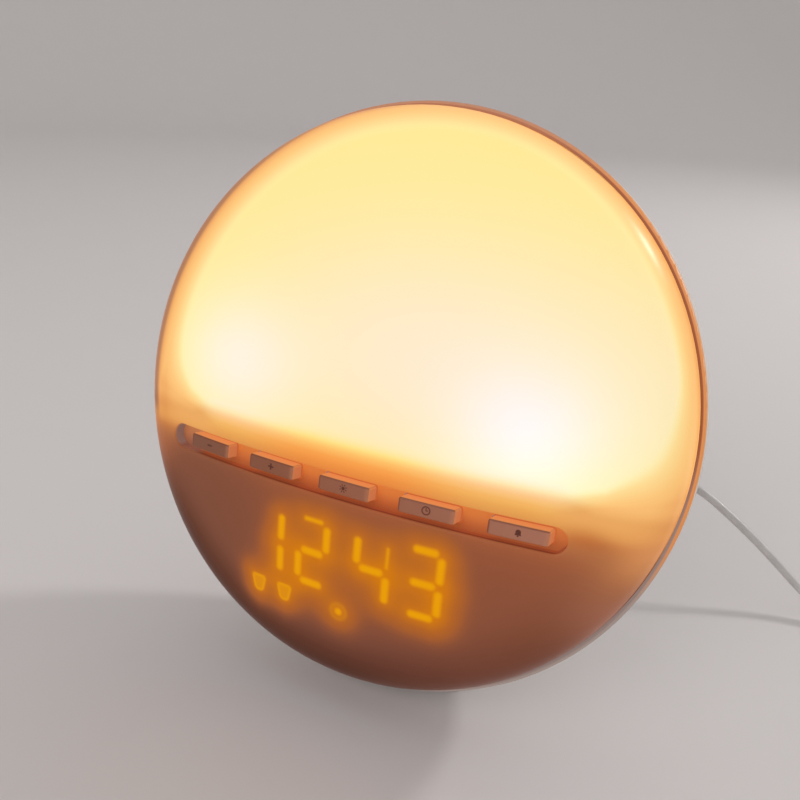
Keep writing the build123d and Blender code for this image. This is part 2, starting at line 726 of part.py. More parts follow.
def cell_holder():
    """Black cup for the backup cell, behind its door."""
    rim = INNER_BACK
    bottom = rim - HOLDER_DEEP
    wide, high = DOOR_LONG - 2 * DOOR_LEDGE, DOOR_HIGH - 2 * DOOR_LEDGE
    cup = block(wide + 2 * HOLDER_WALL, high + 2 * HOLDER_WALL, bottom, rim, 0, DOOR_Z)
    cup -= rod(CELL_R + FIT, bottom + HOLDER_WALL, rim, 0, DOOR_Z)
    return cup - block(wide, high, bottom + HOLDER_WALL + CELL_THICK / 2, rim, 0, DOOR_Z)


def cell_floor():
    """Depth of the face that the backup cell lies on."""
    return INNER_BACK - HOLDER_DEEP + HOLDER_WALL + CONTACT_THICK


def coin_cell():
    """Backup cell with its stepped edge."""
    low = cell_floor()
    can = rod(CELL_R, low + CELL_STEP, low + CELL_THICK, 0, DOOR_Z)
    return can + rod(CELL_R - CELL_STEP_IN, low, low + CELL_STEP, 0, DOOR_Z)


def cell_contact():
    """Spring strip under the backup cell."""
    low = cell_floor() - CONTACT_THICK
    return block(CONTACT_WIDE, CONTACT_LONG, low, low + CONTACT_THICK, 0, DOOR_Z)


def door_outline(grow=0.0):
    """Rounded rectangle of the cell door, grown or shrunk."""
    return Pos(0, DOOR_Z) * RectangleRounded(DOOR_LONG + 2 * grow, DOOR_HIGH + 2 * grow, DOOR_CORNER)


def battery_door():
    """Push-in door with two snap arms and a finger notch."""
    inner = HOUSING_DEPTH - DOOR_THICK
    door = slab(door_outline(-DOOR_FIT), inner, HOUSING_DEPTH)
    notch = Pos(0, HOUSING_DEPTH + NOTCH_R - NOTCH_DEEP, DOOR_Z + DOOR_HIGH / 2 - NOTCH_IN)
    door -= notch * Rot(0, 90, 0) * Cylinder(NOTCH_R, NOTCH_WIDE)
    arm_x = DOOR_LONG / 2 - DOOR_LEDGE - DOOR_FIT - SNAP_THICK / 2
    for side in (-1, 1):
        door += block(SNAP_THICK, DOOR_HIGH / 2, inner - SNAP_DEEP, inner, side * arm_x, DOOR_Z)
    return door


# Power inlet

def dc_jack():
    """Jack body with its centre pin and its round collar in the housing's hole."""
    inner = JACK_FLOOR - HOUSING_WALL
    bore_end = JACK_FLOOR - BARREL_LONG - JACK_SPARE
    body = block(JACK_WIDE, JACK_HIGH, inner - JACK_LONG, inner, JACK_X, JACK_Z)
    body += rod(JACK_COLLAR_R, inner, JACK_FLOOR, JACK_X, JACK_Z)
    body -= rod(JACK_BORE_R, bore_end, JACK_FLOOR, JACK_X, JACK_Z)
    return body + rod(JACK_PIN_R, bore_end, JACK_FLOOR - JACK_PIN_DROP, JACK_X, JACK_Z)


def plug_barrel():
    """Metal barrel of the lead's plug, in the jack."""
    return (rod(BARREL_R, JACK_FLOOR - BARREL_LONG, JACK_FLOOR, JACK_X, JACK_Z)
            - rod(BARREL_HOLE_R, JACK_FLOOR - BARREL_LONG, JACK_FLOOR - BARREL_CAP, JACK_X, JACK_Z))


def plug_body():
    """Moulded grip of the lead's plug, with three finger grooves."""
    y_to = JACK_FLOOR + PLUG_LONG
    grip = rod(PLUG_R, JACK_FLOOR, y_to, JACK_X, JACK_Z)
    grip = fillet(grip.edges().group_by(Axis.Y)[-1], PLUG_ROUND)
    for i in range(GRIP_GROOVES):
        middle = y_to - GROOVE_START - GROOVE_PITCH * i
        depths = (middle - GROOVE_WIDE / 2, middle + GROOVE_WIDE / 2)
        core = rod(PLUG_R - GROOVE_DEEP, *depths, JACK_X, JACK_Z)
        grip -= rod(PLUG_R + 1, *depths, JACK_X, JACK_Z) - core
    return grip


def strain_relief():
    """Tapered sleeve where the cord enters its plug."""
    y_from = JACK_FLOOR + PLUG_LONG
    cone = Cone(RELIEF_END_R, RELIEF_R, RELIEF_LONG)
    return Pos(JACK_X, y_from + RELIEF_LONG / 2, JACK_Z) * Rot(90, 0, 0) * cone


# Power cord

def bend_radii(points):
    """Each bend's radius: a share of the shorter run, over the tangent of half the turn."""
    radii = []
    for before, here, after in zip(points, points[1:], points[2:]):
        into, out = Vector(here) - Vector(before), Vector(after) - Vector(here)
        half_turn = radians(into.get_angle(out)) / 2
        radii.append(ARC_SHARE * min(into.length, out.length) / tan(half_turn))
    return radii


def cord_tube(points):
    """Round tube along straight runs joined by tangent arcs."""
    radii = bend_radii(points)
    path = FilletPolyline(*points, radius=radii)
    print("cord bends", [round(r, 1) for r in radii], "length", round(path.length, 1))
    start = Plane(origin=path @ 0, z_dir=path % 0)
    tube = sweep(start * Circle(CORD_D / 2), path=path)
    print("tube volume over section x length", tube.volume / (pi * CORD_D ** 2 / 4 * path.length))
    return tube


def power_cord():
    """The stretch from the clock to the coil, and the tail from the coil to its plug."""
    return [cord_tube(CORD_POINTS), cord_tube(TAIL_POINTS)]


def cord_coil():
    """Outer shape of the wound cord, lying on the table."""
    ring = Pos(COIL_MIDDLE_R, COIL_THICK / 2) * RectangleRounded(COIL_THICK, COIL_THICK, COIL_CORNER)
    turned_ring = revolve(Plane.XZ * ring, Axis.Z, 360)
    return Pos(COIL_X, COIL_Y, COIL_LIFT) * turned_ring


def cord_tie():
    """Strap wrapped round one side of the coil, following its curve."""
    inner = COIL_THICK + 2 * TIE_FIT
    outer = inner + 2 * TIE_THICK
    loop = RectangleRounded(outer, outer, COIL_CORNER + TIE_THICK)
    loop -= RectangleRounded(inner, inner, COIL_CORNER)
    sketch = Plane.XZ * (Pos(COIL_MIDDLE_R, COIL_THICK / 2) * loop)
    strap = revolve(sketch, Axis.Z, degrees(TIE_WIDE / COIL_MIDDLE_R))
    return Pos(COIL_X, COIL_Y, COIL_LIFT) * Rot(0, 0, TIE_ANGLE) * strap


def at_usb(shape):
    """Place a plug piece, drawn from its cord end along -Y, at the end of the tail."""
    before, end = TAIL_POINTS[-2:]
    turn = degrees(atan2(end[0] - before[0], before[1] - end[1]))
    return Pos(*end) * Rot(0, 0, turn) * shape


def usb_plug_body():
    """Moulded grip of the far plug."""
    wide, long, tall = USB_BODY
    grip = Pos(0, -long / 2, 0) * Box(wide, long, tall)
    return at_usb(fillet(grip.edges().filter_by(Axis.Y), USB_ROUND))


def usb_plug_shell():
    """Metal sleeve of the far plug."""
    wide, long, tall = USB_SHELL
    place = Pos(0, -USB_BODY[1] - long / 2, 0)
    return at_usb(place * (Box(wide, long, tall) - Box(wide - 2 * USB_WALL, long, tall - 2 * USB_WALL)))


def usb_plug_tongue():
    """Contact carrier inside the sleeve."""
    wide, long, tall = USB_TONGUE
    lift = USB_SHELL[2] / 2 - USB_WALL - tall / 2 - USB_TONGUE_FIT
    return at_usb(Pos(0, -USB_BODY[1] - long / 2, lift) * Box(wide, long, tall))


# Rear housing

def foot_body(inset, low):
    """Tapered foot, standing in the final frame, set in from its outside, from a height up."""
    wide, long = FOOT_WIDE - 2 * inset, FOOT_LONG - 2 * inset
    base = RectangleRounded(wide, long, FOOT_CORNER - inset)
    middle_y = CENTRE_Y + FOOT_FRONT + FOOT_LONG / 2
    return extrude(Pos(0, middle_y, low) * base, amount=FOOT_TALL - inset, taper=FOOT_TAPER)


def grille_slots():
    """Parallel slots that fill a circle in front of the speaker."""
    slots = []
    count = int((GRILLE_R - SLOT_WIDE / 2) / SLOT_PITCH)
    for i in range(-count, count + 1):
        z = i * SLOT_PITCH
        long = 2 * sqrt(GRILLE_R ** 2 - z * z)
        outline = Pos(0, SPEAKER_Z + z) * SlotOverall(long, SLOT_WIDE)
        slots.append(slab(outline, INNER_BACK - 1, HOUSING_DEPTH + 1))
    return slots


def pad_places():
    """Centres (x, y) of the rubber feet."""
    x = FOOT_WIDE / 2 - PAD_INSET
    front = CENTRE_Y + FOOT_FRONT + PAD_INSET
    return [(sx * x, y) for sx in (-1, 1) for y in (front, front + FOOT_LONG - 2 * PAD_INSET)]


def rear_housing():
    """Bowl and foot in one moulding, with the grille, cell bay, inlet pocket and screw tubes."""
    bowl = bowl_body(0, 0)
    bowl = fillet(bowl.edges().group_by(Axis.Y)[0], LIP_ROUND)
    hollow = bowl_body(HOUSING_WALL, -1) + rod(COVER_R + FIT, -1, SKIRT + FIT)
    outside = stand(bowl) + foot_body(0, PAD_OUT)
    inside = stand(hollow) + foot_body(HOUSING_WALL, PAD_OUT + HOUSING_WALL)
    shell = outside - inside
    solid_bowl = bowl_body(HOUSING_WALL / 2, 0)
    added, cut = [], []
    for x, z in on_ring(SCREW_RING, SCREW_ANGLES):
        added.append(rod(BOSS_R, TRAY_BACK, HOUSING_DEPTH, x, z) & solid_bowl)
        cut.append(rod(SCREW_R + SCREW_CLEAR, TRAY_BACK, SCREW_SEAT, x, z))
        cut.append(rod(COUNTERBORE_R, SCREW_SEAT, HOUSING_DEPTH, x, z))
    for x, z in on_ring(CLAMP_SCREW_RING, CLAMP_ANGLES):
        place = (x, z + SPEAKER_Z)
        added.append(rod(SMALL_HEAD_R, FLANGE_BACK, INNER_BACK + 1, *place)
                     - around_speaker(rod(SPEAKER_R + FIT, FLANGE_BACK, INNER_BACK)))
        hole_end = FLANGE_BACK + CLAMP_SCREW_DEEP + FIT
        cut.append(rod(SMALL_SCREW_R + THREAD_FIT, FLANGE_BACK, hole_end, *place))
    pocket_back = JACK_FLOOR - HOUSING_WALL
    added.append(rod(JACK_POCKET_R + HOUSING_WALL, pocket_back, HOUSING_DEPTH, JACK_X, JACK_Z) & solid_bowl)
    cut.append(rod(JACK_POCKET_R, JACK_FLOOR, HOUSING_DEPTH + 1, JACK_X, JACK_Z))
    cut.append(rod(JACK_COLLAR_R + JACK_COLLAR_FIT, pocket_back - 1, JACK_FLOOR, JACK_X, JACK_Z))
    cut.append(slab(door_outline(), HOUSING_DEPTH - DOOR_THICK, HOUSING_DEPTH + 1))
    cut.append(slab(door_outline(-DOOR_LEDGE), INNER_BACK - 1, HOUSING_DEPTH))
    cut += grille_slots()
    for piece in added:
        shell += stand(piece)
    for piece in cut:
        shell -= stand(piece)
    for x, y in pad_places():
        shell -= Pos(x, y, PAD_OUT + PAD_IN / 2) * Cylinder(PAD_R + PAD_FIT, PAD_IN)
    return shell


def housing_screws():
    """Four long screws from the back through the tray into the cover's bosses."""
    screws = []
    for x, z in on_ring(SCREW_RING, SCREW_ANGLES):
        head = rod(SCREW_HEAD_R, SCREW_SEAT, SCREW_SEAT + SCREW_HEAD, x, z)
        top = SCREW_SEAT + SCREW_HEAD
        head -= block(DRIVE_SLOT, 1.5 * SCREW_HEAD_R, top - DRIVE_DEEP, top, x, z)
        screws.append(head + rod(SCREW_R, SCREW_SEAT - SCREW_LONG, SCREW_SEAT, x, z))
    return screws


def foot_pads():
    """Four round rubber feet in shallow seats under the foot."""
    tall = PAD_OUT + PAD_IN
    pads = [Pos(x, y, tall / 2) * Cylinder(PAD_R, tall) for x, y in pad_places()]
    return [chamfer(pad.edges().group_by(Axis.Z)[0], PAD_EDGE) for pad in pads]


# Internal leads

def wire(points):
    """Thin insulated wire along rounded runs."""
    path = FilletPolyline(*points, radius=WIRE_BEND)
    return sweep(Plane(origin=path @ 0, z_dir=path % 0) * Circle(WIRE_R), path=path)


def speaker_leads():
    """Two wires from the main board to the back of the speaker's basket."""
    end = BASKET_END + 2 * SPEAKER_WALL
    low = SPEAKER_WIRE_Z
    high = SPEAKER_Z + MAGNET_R + 2 * SPEAKER_WALL
    leads = []
    for x in (-SPEAKER_WIRE_X, SPEAKER_WIRE_X):
        leads.append(wire([(x, MAIN_BACK, low), (x, MAIN_BACK + WIRE_STUB, low),
                           (x, MAIN_BACK + WIRE_RUN, high - WIRE_STUB),
                           (x, end - WIRE_RUN, high), (x, end, high)]))
    return leads


def lamp_leads():
    """A pair of wires to each lamp board through its slot in the tray."""
    leads = []
    for hole_x, z in wire_holes():
        for dz in (-WIRE_PAIR, WIRE_PAIR):
            leads.append(rod(WIRE_R, TRAY_Y - WIRE_REACH, MAIN_Y, hole_x, z + dz))
    return leads


def write(name, shapes, leaned=True):
    """Write one node; shapes may be a piece or a list of separate pieces."""
    pieces = shapes if isinstance(shapes, list) else [shapes]
    placed = [stand(piece) if leaned else piece for piece in pieces]
    solids = [solid for piece in placed for solid in piece.solids()]
    export_step(Compound(children=solids), f"parts/{name}.step")


def main():
    os.makedirs("parts", exist_ok=True)
    write("front_cover", front_cover())
    for name, x in zip(KEY_NAMES, KEY_X):
        write(f"button_{name}", key_cap(x))
        write(f"switch_plunger_{name}", plunger(x))
    leaned = (tact_switches, front_board, display_module, display_segments, reflector_tray, light_boards,
              white_leds, colour_leds, main_board, main_board_chips, capacitors, board_screws,
              display_ribbon, speaker_frame, speaker_cone, speaker_magnet, speaker_gasket,
              speaker_screws, speaker_leads, lamp_leads, cell_holder, coin_cell, cell_contact,
              battery_door, dc_jack, plug_barrel, plug_body, strain_relief, housing_screws)
    for make in leaned:
        write(make.__name__, make())
    upright = (rear_housing, foot_pads, power_cord, cord_coil, cord_tie, usb_plug_body,
               usb_plug_shell, usb_plug_tongue)
    for make in upright:
        write(make.__name__, make(), leaned=False)


main()
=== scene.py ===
"""Finishes, cord and stage for the sunrise alarm clock, laid out as a Blender add-on."""

import json
from math import atan2, cos, e, pi, radians, sin

import bpy
import numpy as np
from bpy.props import FloatProperty, FloatVectorProperty, PointerProperty
from mathutils import Matrix, Vector


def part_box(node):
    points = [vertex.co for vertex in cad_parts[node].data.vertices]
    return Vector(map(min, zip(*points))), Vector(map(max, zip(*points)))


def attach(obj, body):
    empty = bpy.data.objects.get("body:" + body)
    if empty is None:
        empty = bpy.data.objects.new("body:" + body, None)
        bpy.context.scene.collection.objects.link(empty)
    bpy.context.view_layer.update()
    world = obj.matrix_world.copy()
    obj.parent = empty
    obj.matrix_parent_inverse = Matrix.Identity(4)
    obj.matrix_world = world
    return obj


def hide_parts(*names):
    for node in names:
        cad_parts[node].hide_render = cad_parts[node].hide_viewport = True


bl_info = {
    "name": "Sunrise Alarm Clock",
    "version": (1, 0, 0),
    "blender": (4, 5, 0),
    "location": "3D View > Sidebar > Clock",
    "description": "Dresses the clock: its glow, mouldings, electronics, cord and stage",
    "category": "Object",
}

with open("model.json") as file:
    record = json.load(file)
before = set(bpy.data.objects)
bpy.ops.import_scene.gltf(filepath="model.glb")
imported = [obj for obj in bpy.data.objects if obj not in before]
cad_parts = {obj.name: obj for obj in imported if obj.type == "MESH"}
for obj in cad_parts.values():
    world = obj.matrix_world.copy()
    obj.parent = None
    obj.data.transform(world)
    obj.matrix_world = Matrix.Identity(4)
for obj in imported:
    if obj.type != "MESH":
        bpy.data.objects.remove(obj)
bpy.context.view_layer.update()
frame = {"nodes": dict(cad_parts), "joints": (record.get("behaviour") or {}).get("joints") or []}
MM = 0.001
KEYS = ("minus", "plus", "light", "time", "alarm")

# Measures of the cover and its keys, in mm
SKIRT = 5.0                          # the cover's straight wall, behind its rolled edge
DOME_R = 237.3
DOME_RISE = 26.2
KEY_PITCH = 23.8
RECESS_UP = 61.5                     # from the cover's lowest edge up to the keys' middle


def disc_frame():
    """Lean, radius and centre of the disc, in radians and metres.

    They come from a key's axis and the cover's box.
    """
    axis = frame["joints"][0]["axis"]
    lean = atan2(-axis[2], axis[1])
    low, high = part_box("front_cover")
    radius = (high.x - low.x) / 2
    skirt = SKIRT * MM
    centre_y = high.y - skirt * cos(lean) - radius * sin(lean)
    centre_z = low.z + skirt * sin(lean) + radius * cos(lean)
    return lean, radius, Vector((0.0, centre_y, centre_z))


# The disc's own frame: across, back and up from its centre
LEAN, COVER_R, CENTRE = disc_frame()
DISC_X = Vector((1.0, 0.0, 0.0))
DISC_BACK = Vector((0.0, cos(LEAN), -sin(LEAN)))
DISC_UP = Vector((0.0, sin(LEAN), cos(LEAN)))
DOME_CY = DOME_R - DOME_RISE
KEY_X = {name: (n - 2) * KEY_PITCH for n, name in enumerate(KEYS)}
RECESS_Z = RECESS_UP - COVER_R / MM
RECESS = (-2.25, RECESS_Z - 0.2, 58.15, 0.0)      # middle, and half of its straight part
RECESS_HALF = 3.6

# The cord's route, in metres, and its coil
CORD_POINTS = (
    (0.0460, 0.05290, 0.04618), (0.0460, 0.06594, 0.04268), (0.0525, 0.0780, 0.0404),
    (0.0648, 0.0856, 0.0392), (0.0790, 0.0866, 0.0356), (0.0935, 0.0848, 0.0274),
    (0.1075, 0.0836, 0.0176), (0.1205, 0.0806, 0.0081), (0.1330, 0.0755, 0.0025),
    (0.1460, 0.0706, 0.0015), (0.1580, 0.0682, 0.0015),
)
TAIL_POINTS = ((0.1826, 0.0460, 0.0041), (0.1814, 0.0350, 0.0040), (0.1830, 0.0240, 0.0040))
COIL_X, COIL_Y = 0.160, 0.046
TURN_POINTS = 24
START_ANGLE = 96.0
# Each turn's radius and height in mm, and the angles at which it moves out and up to the next
ROW, RISE, EARLY = (300, 330), (330, 360), (270, 300)
COIL_CELLS = (
    (20.75, 2.3, ROW, ROW), (17.75, 2.3, ROW, ROW), (14.75, 2.3, ROW, ROW),
    (11.75, 2.3, ROW, RISE), (11.75, 5.3, ROW, ROW), (14.75, 5.3, ROW, ROW),
    (17.75, 5.3, ROW, RISE), (17.75, 8.3, ROW, ROW), (14.75, 8.3, ROW, ROW),
    (11.75, 8.3, ROW, EARLY), (14.75, 11.3, ROW, ROW), (17.75, 11.3, EARLY, ROW),
    (20.75, 8.3, ROW, EARLY), (20.75, 5.3, ROW, ROW),
)
LAST_POINTS = 6                      # of the last turn
# The cord comes in at this radius and height, and is in the first turn after RUN_IN degrees
RUN_IN_R, RUN_IN_Z, RUN_IN = 22.3, 1.5, 45
# Past RUN_OUT degrees, the last turn moves out and down by this much for each RUN_OUT_STEP
RUN_OUT_R, RUN_OUT_Z, RUN_OUT, RUN_OUT_STEP = 0.75, 0.25, 15, 30


# Node trees as maths

class Sock:
    """One output of a node. Expressions on it add Math nodes."""

    def __init__(self, finish, socket):
        self.finish, self.socket = finish, socket

    def _math(self, operation, *values):
        return self.finish.node(
            "ShaderNodeMath", {"operation": operation}, dict(enumerate(values)))

    def __add__(self, other):
        return self._math("ADD", self, other)

    def __sub__(self, other):
        return self._math("SUBTRACT", self, other)

    def __rsub__(self, other):
        return self._math("SUBTRACT", other, self)

    def __mul__(self, other):
        return self._math("MULTIPLY", self, other)

    def __truediv__(self, other):
        return self._math("DIVIDE", self, other)

    def __abs__(self):
        return self._math("ABSOLUTE", self)

    def __mod__(self, other):
        return self._math("FLOORED_MODULO", self, other)

    __radd__, __rmul__ = __add__, __mul__

    def exp(self):
        return self._math("EXPONENT", self)

    def log(self):
        return self._math("LOGARITHM", self, e)

    def sqrt(self):
        return self._math("SQRT", self)

    def angle_to(self, other):
        return self._math("ARCTAN2", self, other)

    def least(self, other):
        return self._math("MINIMUM", self, other)

    def most(self, other):
        return self._math("MAXIMUM", self, other)

    def step(self, low, high):
        """0 below low, 1 above high, smooth between; falling if low is above high."""
        if low > high:
            return 1 - self.step(high, low)
        return self.finish.node(
            "ShaderNodeMapRange", {"interpolation_type": "SMOOTHSTEP"},
            {"Value": self, "From Min": low, "From Max": high})

    def ramp(self, *stops):
        """A colour from (place, colour) stops."""
        low, high = stops[0][0], stops[-1][0]
        placed = [((at - low) / (high - low), colour) for at, colour in stops]
        spread = self.finish.node(
            "ShaderNodeMapRange", {}, {"Value": self, "From Min": low, "From Max": high})
        return self.finish.node("ShaderNodeValToRGB", {"stops": placed}, {"Fac": spread})


def srgb(red, green, blue):
    """A display colour of 0 to 255 as a linear one."""
    def linear(value):
        value /= 255
        return value / 12.92 if value <= 0.04045 else ((value + 0.055) / 1.055) ** 2.4
    return (linear(red), linear(green), linear(blue), 1.0)


class Finish:
    """One material in the making."""

    def __init__(self, name):
        self.material = bpy.data.materials.new(name)
        self.material.use_nodes = True
        self.tree = self.material.node_tree
        self.tree.nodes.clear()

    def node(self, kind, settings=None, sockets=None, out=0):
        """Add a node: its settings first, then the values or links of its sockets.

        A ramp's stops count as a setting.
        """
        made = self.tree.nodes.new(kind)
        for key, value in (settings or {}).items():
            if key == "stops":
                ramp = made.color_ramp
                while len(ramp.elements) > 1:
                    ramp.elements.remove(ramp.elements[-1])
                ramp.elements[0].position, ramp.elements[0].color = value[0]
                for at, colour in value[1:]:
                    ramp.elements.new(at).color = colour
            else:
                setattr(made, key, value)
        for key, value in (sockets or {}).items():
            if isinstance(value, Sock):
                self.tree.links.new(value.socket, made.inputs[key])
            else:
                made.inputs[key].default_value = value
        return Sock(self, made.outputs[out])

    def place(self):
        """Object coordinates."""
        return self.node("ShaderNodeTexCoord", out="Object")

    def along(self, axis, origin=(0.0, 0.0, 0.0)):
        """Distance in mm along a direction from a point in metres."""
        direction = Vector(axis)
        where = self.node("ShaderNodeVectorMath", {"operation": "DOT_PRODUCT"},
                          {0: self.place(), 1: direction / MM}, out="Value")
        return where - Vector(origin).dot(direction) / MM

    def disc(self):
        """Millimetres across, back and up in the disc's frame."""
        return [self.along(axis, CENTRE) for axis in (DISC_X, DISC_BACK, DISC_UP)]

    def facing(self, direction):
        """How far the surface faces a direction, from -1 to 1."""
        normal = self.node("ShaderNodeNewGeometry", out="Normal")
        return self.node("ShaderNodeVectorMath", {"operation": "DOT_PRODUCT"},
                         {0: normal, 1: direction}, out="Value")

    def noise(self, size, detail=3.0, stretch=(1.0, 1.0, 1.0)):
        """Noise whose features are about size mm."""
        scale = [1 / (size * MM * longer) for longer in stretch]
        where = self.node("ShaderNodeMapping", {}, {"Vector": self.place(), "Scale": scale})
        return self.node("ShaderNodeTexNoise", {},
                         {"Vector": where, "Scale": 1.0, "Detail": detail})

    def cells(self, size):
        """Distance to the nearest of cells about size mm apart."""
        where = self.node("ShaderNodeMapping", {},
                          {"Vector": self.place(), "Scale": [1 / (size * MM)] * 3})
        return self.node("ShaderNodeTexVoronoi", {"feature": "F1"},
                         {"Vector": where, "Scale": 1.0}, out="Distance")

    def mix(self, under, over, share):
        """Colour from under to over as share goes from 0 to 1."""
        return self.node("ShaderNodeMix", {"data_type": "RGBA"},
                         {0: share, 6: under, 7: over}, out=2)

    def scaled(self, colour, by):
        """A colour times a number."""
        return self.node("ShaderNodeVectorMath", {"operation": "SCALE"},
                         {0: colour, "Scale": by})

    def times(self, colour, *channels):
        """A colour with each channel times its own number."""
        return self.node("ShaderNodeVectorMath", {"operation": "MULTIPLY"},
                         {0: colour, 1: channels})

    def colour(self, red, green, blue):
        """A colour from three linear channels."""
        return self.node("ShaderNodeCombineColor", {}, {0: red, 1: green, 2: blue})

    def bump(self, height, depth):
        """A normal from a height of 0 to 1 that stands for depth mm."""
        return self.node("ShaderNodeBump", {},
                         {"Strength": 1.0, "Distance": depth * MM, "Height": height})

    def done(self, **sockets):
        """Close the material with its shader; socket names use _ for a space."""
        named = {key.replace("_", " "): value for key, value in sockets.items()}
        shader = self.node("ShaderNodeBsdfPrincipled", {}, named)
        end = self.tree.nodes.new("ShaderNodeOutputMaterial")
        self.tree.links.new(shader.socket, end.inputs["Surface"])
        return self.material


def add(name, data):
    """Put data into the scene as an object."""
    made = bpy.data.objects.new(name, data)
    bpy.context.scene.collection.objects.link(made)
    return made


def wear(material, *names):
    """Give CAD nodes a material."""
    for name in names:
        for holder in frame["nodes"][name].material_slots:
            holder.material = material


# Settings

class ClockGlow(bpy.types.PropertyGroup):
    """Light from inside the clock"""
    strength: FloatProperty(
        name="Glow", description="Brightness of the lit part of the cover",
        default=1.0, min=0.0, max=4.0, subtype="FACTOR")
    digits: FloatVectorProperty(
        name="Digits", description="Colour of the lit digits", subtype="COLOR", size=4,
        default=srgb(239, 161, 0), min=0.0, max=1.0)
    # The cover below the divider is painted in this colour as dim glow on its white plastic
    dusk: FloatVectorProperty(
        name="Unlit Cover", description="Colour of the cover below the divider",
        subtype="COLOR", size=4, default=srgb(134, 79, 57), min=0.0, max=1.0)


class ClockBody(bpy.types.PropertyGroup):
    """Mouldings and cord"""
    housing: FloatVectorProperty(
        name="Housing", description="Colour of the rear housing", subtype="COLOR", size=4,
        default=(0.80, 0.79, 0.77, 1.0), min=0.0, max=1.0)
    cord: FloatVectorProperty(
        name="Cord", description="Colour of the cord's jacket", subtype="COLOR", size=4,
        default=(0.66, 0.64, 0.63, 1.0), min=0.0, max=1.0)
    cord_length: FloatProperty(
        name="Cord Length", description="Real length of the power cord",
        default=1.5, unit="LENGTH", subtype="DISTANCE")
    cord_diameter: FloatProperty(
        name="Cord Thickness", description="Diameter of the power cord",
        default=3.0 * MM, unit="LENGTH", subtype="DISTANCE", precision=4)


class ClockStage(bpy.types.PropertyGroup):
    """Floor, lamps and camera"""
    floor: FloatVectorProperty(
        name="Floor", description="Colour of the floor and backdrop", subtype="COLOR", size=4,
        default=srgb(222, 218, 218), min=0.0, max=1.0)
    key_power: FloatProperty(
        name="Key Lamp", description="Power of the lamp behind the clock's right shoulder",
        default=7.0, min=0.0, unit="POWER")
    fill_power: FloatProperty(
        name="Fill Lamp", description="Power of the soft lamp in front",
        default=8.0, min=0.0, unit="POWER")
    lens: FloatProperty(
        name="Lens", description="Focal length of the camera",
        default=38.5628, unit="CAMERA")


# Shared finishes

def dimmed(colour, by):
    """A colour's three channels times a number, solid."""
    return [channel * by for channel in colour[:3]] + [1.0]


def moulded(name, colour, rough=0.45, grain=0.35, depth=0.012):
    """Fine-grained moulded plastic: a spark-eroded grain and a little cloudiness."""
    f = Finish(name)
    cloud = f.noise(9.0, 4.0)
    fine = f.noise(grain, 2.0)
    return f.done(
        Base_Color=f.mix(dimmed(colour, 0.93), colour, cloud.step(0.3, 0.7)),
        Roughness=rough + 0.12 * (fine - 0.5),
        Normal=f.bump(fine, depth))


def metal(name, colour, rough=0.28, stretch=(1.0, 1.0, 12.0)):
    """Drawn or rolled metal with fine marks along one direction."""
    f = Finish(name)
    marks = f.noise(0.25, 3.0, stretch)
    return f.done(
        Base_Color=f.mix(dimmed(colour, 0.8), colour, marks.step(0.35, 0.65)), Metallic=1.0,
        Roughness=rough + 0.15 * (marks - 0.5), Normal=f.bump(marks, 0.01))


def mottled(name, dark, pale, grain, rough, vary, depth, detail=2.0):
    """A dull material whose grain, in mm, shows in its colour, its roughness and its surface."""
    f = Finish(name)
    fine = f.noise(grain, detail)
    return f.done(
        Base_Color=f.mix((*dark, 1), (*pale, 1), fine),
        Roughness=rough + vary * (fine - 0.5), Normal=f.bump(fine, depth))


class CLOCK_OT_camera(bpy.types.Operator):
    """Set the camera in front of the clock, a little above it and to its right"""
    bl_idname = "sunrise.camera"
    bl_label = "Camera"

    def execute(self, context):
        lens = context.scene.clock_stage.lens
        data = bpy.data.cameras.new("camera")
        data.lens, data.sensor_width = lens, 36.0
        data.clip_start, data.clip_end = 0.01, 20.0
        camera = add("camera", data)
        place = (0.098628, -0.219703, 0.180566)
        heading, dip, roll = radians(25.2014), radians(22.1282), radians(3.0201)
        camera.matrix_world = (
            Matrix.Translation(place)
            @ Matrix.Rotation(heading, 4, "Z")
            @ Matrix.Rotation(pi / 2 - dip, 4, "X")
            @ Matrix.Rotation(roll, 4, "Z"))
        context.scene.camera = camera
        return {"FINISHED"}


def through(angle, window):
    """How much of a window of angle is behind, from 0 to 1."""
    return min(max((angle - window[0]) / (window[1] - window[0]), 0), 1)


def coil_route():
    """Points of the coil, turn by turn, clockwise from above.

    A point at angle a of a turn lies on a circle round the coil's centre, pushed out by
    1/cos(half a step) so that the spline's runs touch the circle. Its radius and height
    go from one cell to the next within the cell's two windows of angle.
    """
    step = 360 / TURN_POINTS
    points = []
    for turn, (radius, height, out_at, up_at) in enumerate(COIL_CELLS):
        last = turn == len(COIL_CELLS) - 1
        after = COIL_CELLS[turn] if last else COIL_CELLS[turn + 1]
        for n in range(LAST_POINTS if last else TURN_POINTS):
            angle = n * step
            r = radius + (after[0] - radius) * through(angle, out_at)
            z = height + (after[1] - height) * through(angle, up_at)
            if turn == 0 and angle < RUN_IN:
                r += (RUN_IN_R - radius) * (1 - angle / RUN_IN)
                z += (RUN_IN_Z - height) * (1 - angle / RUN_IN)
            if last and angle > RUN_OUT:
                r += RUN_OUT_R * (angle - RUN_OUT) / RUN_OUT_STEP
                z -= RUN_OUT_Z * (angle - RUN_OUT) / RUN_OUT_STEP
            heading = radians(START_ANGLE - angle)
            r *= MM / cos(pi / TURN_POINTS)
            points.append((COIL_X + r * cos(heading), COIL_Y + r * sin(heading), z * MM))
    return points[1:]


